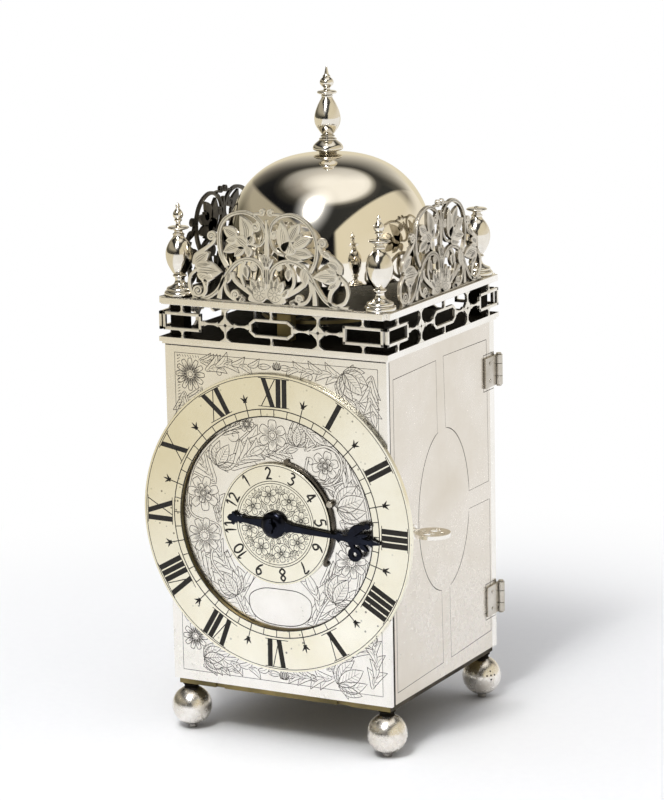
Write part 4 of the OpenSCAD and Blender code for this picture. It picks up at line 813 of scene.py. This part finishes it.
post = [(-2.7, 154.0), (-2.5, 160.0), (-2.0, 163.0), (-2.2, 167.0), (-1.7, 171.0), (-1.6, 176.4),
        (-0.7, 176.4), (-0.4, 171.0), (-0.2, 167.0), (-0.5, 163.0), (-0.1, 160.0), (0.1, 154.0)]
deck = 148.7
strap_gain, petal_gain = 1.15, 1.6
berries = [(-11.6, 150.6), (-12.4, 149.9), (-10.6, 149.9), (8.6, 150.4), (7.6, 149.9), (9.4, 149.8)]


def crest_fret():
    shape = bmesh.new()
    for knots, wide, tail in straps:
        cut_out(shape, strap(flowing(knots), wide * strap_gain, tail * strap_gain), 0, 1.1, 0.2)
    for x, z, r, start, turns in curls:
        cut_out(shape, strap(curl(x, z, r, start, turns), 0.75, 0.5), 0, 1.12, 0.16)
        cut_out(shape, arc(x, z, 0.42, steps=10)[:-1], 0, 1.16, 0.12)
    for i, (x, z, tip_x, tip_z, wide, sway) in enumerate(petals):
        cut_out(shape, petal_edge(x, z, tip_x, tip_z, wide * petal_gain, sway), 0, 1.14 + 0.08 * (i % 3),
                0.26)
    for x, z in berries:
        cut_out(shape, arc(x, z, 0.85, steps=14)[:-1], 0, 1.1, 0.2)
    cut_out(shape, foot, 0, 1.15, 0.3)
    cut_out(shape, post, 0, 1.1, 0.2)
    cut_out(shape, [(-30.2, deck), (-30.2, 149.2), (29.6, 149.2), (29.6, deck)], 0, 1.1, 0.1)
    return shape


chasing = []
for petal in petals:
    chasing += petal_marks(*petal)
for knots, wide, tail in straps[:4]:
    chasing.append((0.1, flowing(knots)[3:-3]))
for x, z in ((-4.3, 152.3), (1.5, 152.2)):
    chasing += [(0.08, arc(x, z, 2.5, 20, 340, steps=20)), (0.08, arc(x, z, 0.7, steps=10))]
    for a in range(0, 360, 40):
        chasing.append((0.08, [swung(x, z, a, 1.0), swung(x, z, a, 1.5), swung(x, z, a, 2.1)]))
for x in (-2.0, -1.3, -0.6):
    chasing.append((0.14, [(x, 155.6), (x, 160.2)]))
for x, z in berries:
    chasing.append((0.16, arc(x, z, 0.34, steps=8)))
# Painted shade: the left crest takes a near-black copy of the fret silver and the right crest a greyer copy,
# standing for the shade on their inner faces.
deep_shade_fret = worked_metal("deep_shade_fret", (0.10, 0.09, 0.075), (0.045, 0.04, 0.03), 0.34, clouds=90, hollow_shade_and_tarnish=0.9)
half_shade_fret = worked_metal("half_shade_fret", (0.70, 0.65, 0.56), (0.42, 0.38, 0.31), 0.34, clouds=140,
                           relief=0.2, hollow_shade_and_tarnish=0.9)
on_front = Matrix.Translation((0, -39.65, 0)) @ facing
on_right = Matrix.Translation((41.05, 0, 0)) @ rightward
stands = {"front": (on_front, fret_silver), "right": (on_right, half_shade_fret),
          "left": (about @ on_right, deep_shade_fret)}
for side, (lie, finish) in stands.items():
    fitted(side + "_crest_fret", placed(crest_fret(), lie), "case", "fret_silver", finish, side + "_crest")
    graven(side + "_crest_chasing", chasing, lie @ Matrix.Translation((0, 0, 1.3)), "case", "fret_silver")


# Corner finials: solid silver, turned, each on a long threaded tang that runs down through the gallery into the
# corner post. The back right one has lost its tip above the collar.
bright_silver = worked_metal("bright_silver", (0.90, 0.87, 0.81), (0.74, 0.69, 0.60), 0.13, relief=0.08,
                             hollow_shade_and_tarnish=0.5)
post_x, post_y = 37.2, 35.7


def turned(shape, profile, x, y, z, steps=56):
    rim = [shape.verts.new((x + r, y, z + h)) for r, h in profile]
    edges = [shape.edges.new(pair) for pair in zip(rim, rim[1:])]
    bmesh.ops.spin(shape, geom=rim + edges, cent=(x, y, 0), axis=(0, 0, 1), angle=2 * pi, steps=steps,
                   use_merge=True)


def finished_turning(shape):
    bmesh.ops.remove_doubles(shape, verts=shape.verts, dist=1e-4)
    bmesh.ops.dissolve_degenerate(shape, edges=shape.edges, dist=1e-4)
    return placed(shape, Matrix())


tang = [(0, -23.9), (1.2, -23.9), (1.2, 0)]
baluster = [*tang, *flowing([(5.0, 0), (5.2, 0.35), (5.2, 1.1), (4.9, 1.55)], 3),
            *flowing([(4.3, 1.7), (4.5, 2.2), (4.2, 2.7)], 3),
            *flowing([(3.4, 3.0), (2.2, 3.7), (1.7, 4.6), (1.6, 5.6), (1.9, 6.2)], 3),
            *flowing([(2.2, 6.3), (2.3, 6.7), (2.0, 7.0)], 3),
            *flowing([(1.9, 7.1), (2.7, 8.2), (3.9, 10.6), (4.45, 13.2), (4.2, 15.6), (3.2, 17.8),
                      (2.1, 19.2), (1.7, 20.0)], 5),
            *flowing([(1.9, 20.1), (1.95, 20.5), (1.55, 20.8)], 2),
            *flowing([(1.35, 21.2), (1.5, 21.7), (2.6, 22.0), (3.45, 22.35), (3.5, 22.65), (2.9, 22.95),
                      (1.5, 23.1)], 3)]
bud = [*flowing([(0.9, 23.3), (0.75, 24.1), (0.95, 24.7)], 3),
       *flowing([(1.25, 24.8), (1.3, 25.1), (1.0, 25.4)], 2),
       *flowing([(1.2, 25.6), (1.7, 26.5), (1.5, 27.7), (0.8, 28.7), (0.55, 29.2)], 4),
       *flowing([(0.7, 29.4), (0.75, 29.8), (0.5, 30.3), (0.25, 30.7), (0, 30.8)], 3)]
stub = [(0.9, 23.1), (0.85, 23.35), (0.5, 23.5), (0, 23.45)]
for x, y, name in ((-1, -1, "front_left"), (1, -1, "front_right"), (-1, 1, "back_left"), (1, 1, "back_right")):
    shape = bmesh.new()
    turned(shape, baluster + (stub if name == "back_right" else bud), x * post_x, y * post_y, deck)
    finial = finished_turning(shape)
    fitted(name + "_turned_finial", finial, "case", "polished_silver", bright_silver, name + "_finial")


# Bell: cast in bell silver, turned and polished all over, standing on a steel post. A tall turned nut screws
# down on the post's thread and ends in the top finial.
bell_silver = worked_metal("bell_silver", (0.96, 0.92, 0.84), (0.90, 0.85, 0.75), 0.055, clouds=22,
                           relief=0.04)
rim_z, bell_r, bell_h, wall = 154.0, 35.2, 39.2, 1.2


def dome(r, h, steps=48):
    squared = 0.8
    turns = [radians(90 * i / steps) for i in range(1, steps)]
    return [(r * cos(a) ** squared, rim_z + h * sin(a) ** squared) for a in turns]


outside = [(bell_r, rim_z + 0.3)] + dome(bell_r, bell_h)
inside = dome(bell_r - wall, bell_h - wall)[::-1] + [(bell_r - wall, rim_z + 0.3)]
post_r = 1.25
hole_top = post_r, rim_z + bell_h - 0.02
hole_low = post_r, rim_z + bell_h - wall - 0.03
lip = [(bell_r - wall + 0.25, rim_z), (bell_r - 0.25, rim_z), outside[0]]
shape = bmesh.new()
turned(shape, outside + [hole_top, hole_low] + inside + lip, 0, 0, 0, 128)
fitted("turned_bell", finished_turning(shape), "case", "polished_silver", bell_silver, "bell", sharp=50)
grey_steel = worked_metal("grey_steel", (0.42, 0.42, 0.43), (0.28, 0.27, 0.26), 0.28)
eased("bell_post", "case", "steel", grey_steel)
top_nut = [(0, 6.5), (post_r, 6.5), (post_r, 0), *flowing([(2.9, 0), (3.1, 0.3), (2.9, 0.6)], 2),
           *flowing([(3.6, 0.7), (4.8, 1.1), (5.05, 1.8), (4.6, 2.8), (3.5, 3.8), (2.7, 4.4)], 4),
           *flowing([(2.9, 4.5), (2.95, 4.75), (2.6, 5.0)], 2), *flowing([(1.9, 5.05), (1.8, 5.3)], 2),
           *flowing([(2.3, 5.4), (2.4, 5.7), (2.0, 6.0)], 2),
           *flowing([(1.8, 6.1), (2.8, 7.4), (4.0, 9.4), (4.35, 11.4), (4.0, 13.6), (3.0, 16.2), (2.0, 18.0),
                     (1.7, 18.7)], 5),
           *flowing([(1.9, 18.8), (1.9, 19.2), (1.6, 19.4)], 2),
           *flowing([(1.6, 19.5), (2.9, 19.75), (3.25, 20.2), (2.9, 20.6), (1.5, 20.85)], 3),
           *flowing([(1.1, 21.0), (1.05, 21.6), (1.3, 22.0)], 2),
           *flowing([(1.5, 22.1), (2.1, 22.8), (2.3, 23.5), (2.0, 24.4), (1.2, 25.2)], 3),
           *flowing([(1.3, 25.3), (1.2, 25.7), (0.8, 26.1), (0.55, 27.2), (0.25, 28.6), (0, 28.8)], 3)]
shape = bmesh.new()
turned(shape, top_nut, 0, 0, rim_z + bell_h)
fitted("turned_bell_nut", finished_turning(shape), "case", "polished_silver", bright_silver, "bell_nut")


# Ball feet: silver balls turned with a short neck, screwed up into the corner posts. Each stands on a small
# stub, and the back right one has five pin pricks in a cross.
foot_silver = worked_metal("foot_silver", (0.94, 0.91, 0.87), (0.74, 0.69, 0.62), 0.27, clouds=150, spots=0.8,
                           hollow_shade_and_tarnish=0.8, nook=0.003, relief=0.12)
ball_r, ball_z = 6.75, 7.75
ball = [(0, 0), (1.5, 0)]
for a in range(-77, 70, 4):
    ball.append((ball_r * cos(radians(a)), ball_z + ball_r * sin(radians(a))))
ball += [(2.4, 14.2), (2.4, 15.0), (2.9, 15.4), (2.9, 16.0), (1.2, 16.0), (1.2, 25.5), (0, 25.5)]
shape = bmesh.new()
for x in (-1, 1):
    for y in (-1, 1):
        turned(shape, ball, x * post_x, y * post_y, 0)
feet = fitted("turned_ball_feet", finished_turning(shape), "case", "polished_silver", foot_silver,
              "ball_feet")
# Painted shade: each neck above its ball takes the near-black metal, standing for the shade under the base
# plate.
neck_z = 0.0139
second_finish(feet.data, blackened_and_shade, lambda centre, normal: centre.z > neck_z)
pricks = bmesh.new()
facing_out = Vector((0.80, -0.56, 0.22)).normalized()
sideways = facing_out.cross(Vector((0, 0, 1))).normalized()
for u, v in ((0, 0), (1.5, 0), (-1.5, 0), (0, 1.5), (0, -1.5)):
    aim = (facing_out * ball_r + sideways * u + sideways.cross(facing_out) * v).normalized()
    spot = Vector((post_x, post_y, ball_z)) + aim * (ball_r + 0.01)
    lie = Matrix.Translation(spot) @ aim.to_track_quat("Z", "Y").to_matrix().to_4x4()
    bmesh.ops.create_cone(pricks, cap_ends=True, segments=12, radius1=0.34, radius2=0.24, depth=0.06,
                          matrix=lie)
fitted("foot_pricks", placed(pricks, Matrix()), "case", "polished_silver", waxed)


# Chapter ring: silver sheet washed with pale gold, on four feet pinned through the front plate. The hour
# numerals, the quarter track and the half-hour marks are cut deep and filled with black wax.
pale_gilt = worked_metal("pale_gilt", (0.93, 0.90, 0.78), (0.86, 0.81, 0.65), 0.19, clouds=38, spots=0.9)
ring_face = -41.4
band = eased("chapter_ring", "case", "silver_gilt", pale_gilt, 0.2, 3).data


# Painted shade: the ring's bored inner wall takes the dark brass instead of the gilt, standing for the shade on
# that wall.
def bored_wall(centre, normal):
    return hypot(centre.x, centre.z - dial_z / 1000) < dial_opening / 1000 and abs(normal.y) < 0.8


second_finish(band, dull_brass_and_shade, bored_wall)
black_wax = wax("black_wax", (0.012, 0.011, 0.010), (0.035, 0.032, 0.028), 900, 0.6, 0.9, 0.15, 0.25)

foot_of, head_of, bar, pitch = 39.3, 48.7, 1.8, 2.25
widths = {"I": pitch, "V": 5.0, "X": 5.6}
numerals = ["XII", "I", "II", "III", "IIII", "V", "VI", "VII", "VIII", "IX", "X", "XI"]
bars = bmesh.new()
track_in, track_out = 36.05, 38.5
fine = [(0.42, arc(0, 0, track_in, steps=96)), (0.36, arc(0, 0, track_out, steps=96))]
fine.append((0.24, arc(0, 0, 49.3, steps=96)))


def on_ring(lie, aside, r):
    return swung(*swung(0, 0, lie, r), lie - 90, aside)


def waxed_in(outline):
    cut_out(bars, outline, -0.05, 0.02, 0.005)


twelve = 89.3
for hour, numeral in enumerate(numerals):
    lie = twelve - 30 * hour
    reach = sum(widths[letter] for letter in numeral) - (pitch - bar if numeral[-1] == "I" else 0.3)
    start = -reach / 2
    for end in (foot_of, head_of):
        fine.append((0.26, [on_ring(lie, start - 0.9, end), on_ring(lie, start + reach + 0.9, end)]))
    for letter in numeral:
        crossing = {"I": 0, "V": 1.7, "X": 3.5}[letter]
        if letter != "I":
            low_end = start + (0.2 if letter == "X" else crossing + bar / 2)
            high_end = start + widths[letter] - 0.3
            fine.append((0.34, [on_ring(lie, high_end, head_of), on_ring(lie, low_end, foot_of)]))
        waxed_in([on_ring(lie, start, head_of), on_ring(lie, start + bar, head_of),
                  on_ring(lie, start + crossing + bar, foot_of), on_ring(lie, start + crossing, foot_of)])
        start += widths[letter]
    half = lie - 15
    fine.append((0.34, [swung(0, 0, half, track_in), swung(0, 0, half, 41.6)]))
    for turn, long, bow in ((0, 3.2, 0), (36, 2.7, -0.3), (-36, 2.7, 0.3)):
        root = swung(0, 0, half, 40.9)
        waxed_in(petal_edge(*root, *swung(*root, half + turn, long), 0.6, bow))
    fine.append((0.4, [swung(*swung(0, 0, half, 41.3), half - 90, aside) for aside in (-0.7, 0.7)]))
for i in range(48):
    a = twelve + i * 7.5
    fine.append((0.3, [swung(0, 0, a, track_in), swung(0, 0, a, track_out)]))
on_dial = Matrix.Translation((0, ring_face, dial_z)) @ facing
fitted("chapter_numerals", placed(bars, on_dial), "case", "silver_gilt", black_wax)
graven("chapter_track", fine, on_dial, "case", "silver_gilt", black_wax)


# Alarm disc: gilt like the ring, on a pipe round the hour arbor, so that it turns behind the hand. A rosette
# and twelve figures are cut in it. A steel spring beside it, its blue rubbed off, presses on its edge.
eased("alarm_disc", "alarm_dial", "silver_gilt", pale_gilt, 0.12)
figures = {"1": [[(0.10, 0.80), (0.34, 1.0), (0.30, 0.0)]],
           "2": [[(0.06, 0.78), (0.28, 1.0), (0.52, 0.76), (0.34, 0.38), (0.04, 0.03)],
                 [(0.04, 0.06), (0.30, 0.10), (0.62, 0.04)]],
           "3": [[(0.08, 0.92), (0.32, 1.0), (0.50, 0.80), (0.22, 0.56)],
                 [(0.22, 0.56), (0.56, 0.36), (0.38, 0.02), (0.04, 0.10)]],
           "4": [[(0.42, 0.0), (0.42, 1.0)], [(0.42, 1.0), (0.02, 0.30)], [(0.02, 0.30), (0.62, 0.30)]],
           "5": [[(0.14, 0.98), (0.54, 1.0)],
                 [(0.14, 0.98), (0.12, 0.58), (0.42, 0.60), (0.56, 0.30), (0.34, 0.0), (0.04, 0.08)]],
           "6": [[(0.48, 1.0), (0.20, 0.72), (0.06, 0.32), (0.28, 0.0), (0.54, 0.26), (0.32, 0.52),
                  (0.10, 0.36)]],
           "7": [[(0.04, 0.92), (0.30, 1.0), (0.58, 0.98)], [(0.58, 0.98), (0.36, 0.52), (0.24, 0.0)]],
           "8": [[(0.30, 0.52), (0.10, 0.76), (0.30, 1.0), (0.50, 0.76), (0.30, 0.52), (0.06, 0.26),
                  (0.30, 0.0), (0.54, 0.26), (0.30, 0.52)]],
           "9": [[(0.12, 0.0), (0.40, 0.28), (0.54, 0.68), (0.32, 1.0), (0.06, 0.74), (0.28, 0.48),
                  (0.50, 0.64)]],
           "0": [[(0.30, 1.0), (0.06, 0.74), (0.06, 0.26), (0.30, 0.0), (0.54, 0.26), (0.54, 0.74),
                  (0.30, 1.0)]]}
boss_r = 4.9
disc_marks = [(0.26, arc(0, 0, 19.7, steps=72)), (0.26, arc(0, 0, 14.5, steps=60)),
              (0.22, arc(0, 0, 13.7, steps=60)), (0.2, arc(0, 0, boss_r, steps=36))]
tall = 4.1
for hour in range(12):
    lie = 157.3 - 29.9 * hour
    text = str(12 if hour == 0 else hour)
    for place, figure in enumerate(text):
        shift = (place - (len(text) - 1) / 2) * tall * 0.56 - tall * 0.3
        for knots in figures[figure]:
            line = flowing(knots, 4) if len(knots) > 2 else knots
            disc_marks.append((0.66, [on_ring(lie, shift + u * tall, 15.0 + v * tall) for u, v in line]))
for i in range(8):
    a = i * 45 + 12
    spot = swung(0, 0, a, 9.9)
    disc_marks += bloom(*spot, 0.6, 2.9, 5, a, lines=3)
    disc_marks.append((0.2, [swung(*spot, a + 180 + turn, 3.5) for turn in range(-120, 121, 20)]))
    disc_marks += leaf(*swung(0, 0, a, boss_r), a, 2.0, 1.4, veins=2, cut=0.2)
    between = a + 22.5
    disc_marks += leaf(*swung(0, 0, between, boss_r), between, 4.2, 1.3, veins=3, cut=0.2)
    root = swung(0, 0, between, 10.4)
    for turn in (-32, 0, 32):
        disc_marks += leaf(*root, between + turn, 3.0, 1.1, sway=turn / 80, veins=2, cut=0.18)
    for side in (-1, 1):
        disc_marks += tendril(*swung(0, 0, a + side * 9, 12.7), 0.7, a + 90 * side, side * 1.3, 0.16)
graven("alarm_figures", disc_marks, on_dial, "alarm_dial", "silver_gilt", black_wax)
worn_blue = worked_metal("worn_blue", (0.15, 0.13, 0.10), (0.05, 0.045, 0.04), 0.26, clouds=160, hollow_shade_and_tarnish=1.0)
eased("alarm_spring", "case", "blued_steel", worn_blue, 0.25, 3)
eased("alarm_stud", "case", "case_silver", hinge_silver, 0.2, 3)


# Hour hand: blued steel, sawn and filed with an arrow head between two curled lobes, and a small trefoil tail.
# Its domed boss fits a square on the hour arbor and is held by a taper pin.
blued = worked_metal("blued", (0.018, 0.021, 0.033), (0.012, 0.012, 0.016), 0.22, clouds=160, relief=0.6)
hand = bmesh.new()
half_blade = [(3.0, 2.2), (5.0, 1.7), (7.2, 1.3), (12.0, 1.15), (18.0, 1.0), (22.4, 0.8), (23.4, 1.0),
              (24.2, 2.0), (25.0, 1.1), (26.4, 0.9), (28.0, 1.5), (31.0, 1.6), (33.4, 1.0), (35.4, 0.85),
              (36.2, 1.5), (37.0, 0.8), (38.6, 0.5), (40.0, 0.0)]
cut_out(hand, half_blade + [(u, -v) for u, v in half_blade[-2::-1]], 0.0, 1.0, 0.3)
half_tail = [(-3.0, 2.2), (-5.0, 1.5), (-8.0, 1.15), (-11.5, 0.9), (-12.4, 1.5), (-13.2, 0.9), (-14.2, 1.3),
             (-14.9, 2.3), (-15.7, 2.1), (-15.9, 1.1), (-16.8, 1.0), (-17.5, 0.0)]
cut_out(hand, half_tail + [(u, -v) for u, v in half_tail[-2::-1]], 0.0, 1.0, 0.3)
cut_out(hand, petal_edge(27.4, 0.4, 34.6, 5.4, 3.0, 0.9), 0.0, 1.02, 0.3)
cut_out(hand, arc(34.4, 5.2, 1.1, steps=16)[:-1], 0.0, 1.05, 0.25)
cut_out(hand, petal_edge(30.4, 1.2, 35.2, 2.4, 1.5), 0.0, 1.0, 0.25)
cut_out(hand, strap([(28.4, -0.6), (29.0, -1.8), (29.8, -3.0)], 2.0, 1.6), 0.0, 1.02, 0.3)
for start in (0, 180):
    cut_out(hand, strap(arc(30.4, -4.8, 1.6, start, start + 182, 14), 1.7), 0.0, 1.06, 0.3)
cut_out(hand, petal_edge(31.8, -0.6, 35.4, -3.0, 1.7, -0.3), 0.0, 1.0, 0.25)
boss = flowing([(1.3, 2.1), (2.6, 2.1), (3.8, 1.6), (4.45, 0.9), (4.5, 0.2), (4.5, -0.4)], 4)
turned(hand, [(1.3, 2.1)] + boss[1:] + [(1.3, -0.4), (1.3, 2.1)], 0, 0, 0)
bmesh.ops.remove_doubles(hand, verts=hand.verts, dist=1e-4)
hand_back, past_three = -42.0, -3.5
on_arbor = Matrix.Translation((0, hand_back, dial_z)) @ facing @ Matrix.Rotation(radians(past_three), 4, "Z")
fitted("filed_hand", placed(hand, on_arbor), "hour_work", "blued_steel", blued, "hour_hand")
eased("hand_pin", "hour_work", "blued_steel", blued, 0.05)


# Movement: two brass plates on four pillars between the dial and the back plate, with brass wheels, steel
# arbors, two spring barrels and their clicks, and the verge with its balance above in the gallery.
brass_parts = {
    "case": ["movement_front_plate", "movement_back_plate", "movement_pillars", "potences", "balance_cock"],
    "hour_work": ["hour_wheel"], "great_wheel": ["going_barrel"], "centre_arbor": ["centre_wheel"],
    "third_arbor": ["third_wheel"], "crown_arbor": ["crown_wheel"], "balance": ["balance_wheel"],
    "alarm_drum": ["alarm_barrel"]}
steel_parts = {"case": ["movement_screws"], "great_wheel": ["going_mainspring"],
               "great_arbor": ["going_arbor"], "great_click": ["going_click"], "balance": ["verge_staff"],
               "alarm_drum": ["alarm_mainspring"], "alarm_winder": ["alarm_arbor"],
               "alarm_pawl": ["alarm_click"], "hammer_staff": ["alarm_staff", "alarm_hammer"],
               "release_lever": ["alarm_lever"]}
for body, nodes in brass_parts.items():
    for node in nodes:
        # Painted shade: the balance, its cock and the potences, seen through the gallery, take the darker
        # brass, standing for the shade inside it.
        in_gallery_shade = node in ("balance_wheel", "balance_cock", "potences")
        eased(node, body, "brass", dull_brass_and_shade if in_gallery_shade else clean_brass, 0.06)
for body, nodes in steel_parts.items():
    for node in nodes:
        eased(node, body, "steel", grey_steel, 0.05)
hour_pipe = bpy.data.objects["hour_wheel_eased"].data
square_end = -0.0418
second_finish(hour_pipe, blued, lambda centre, normal: centre.y < square_end)
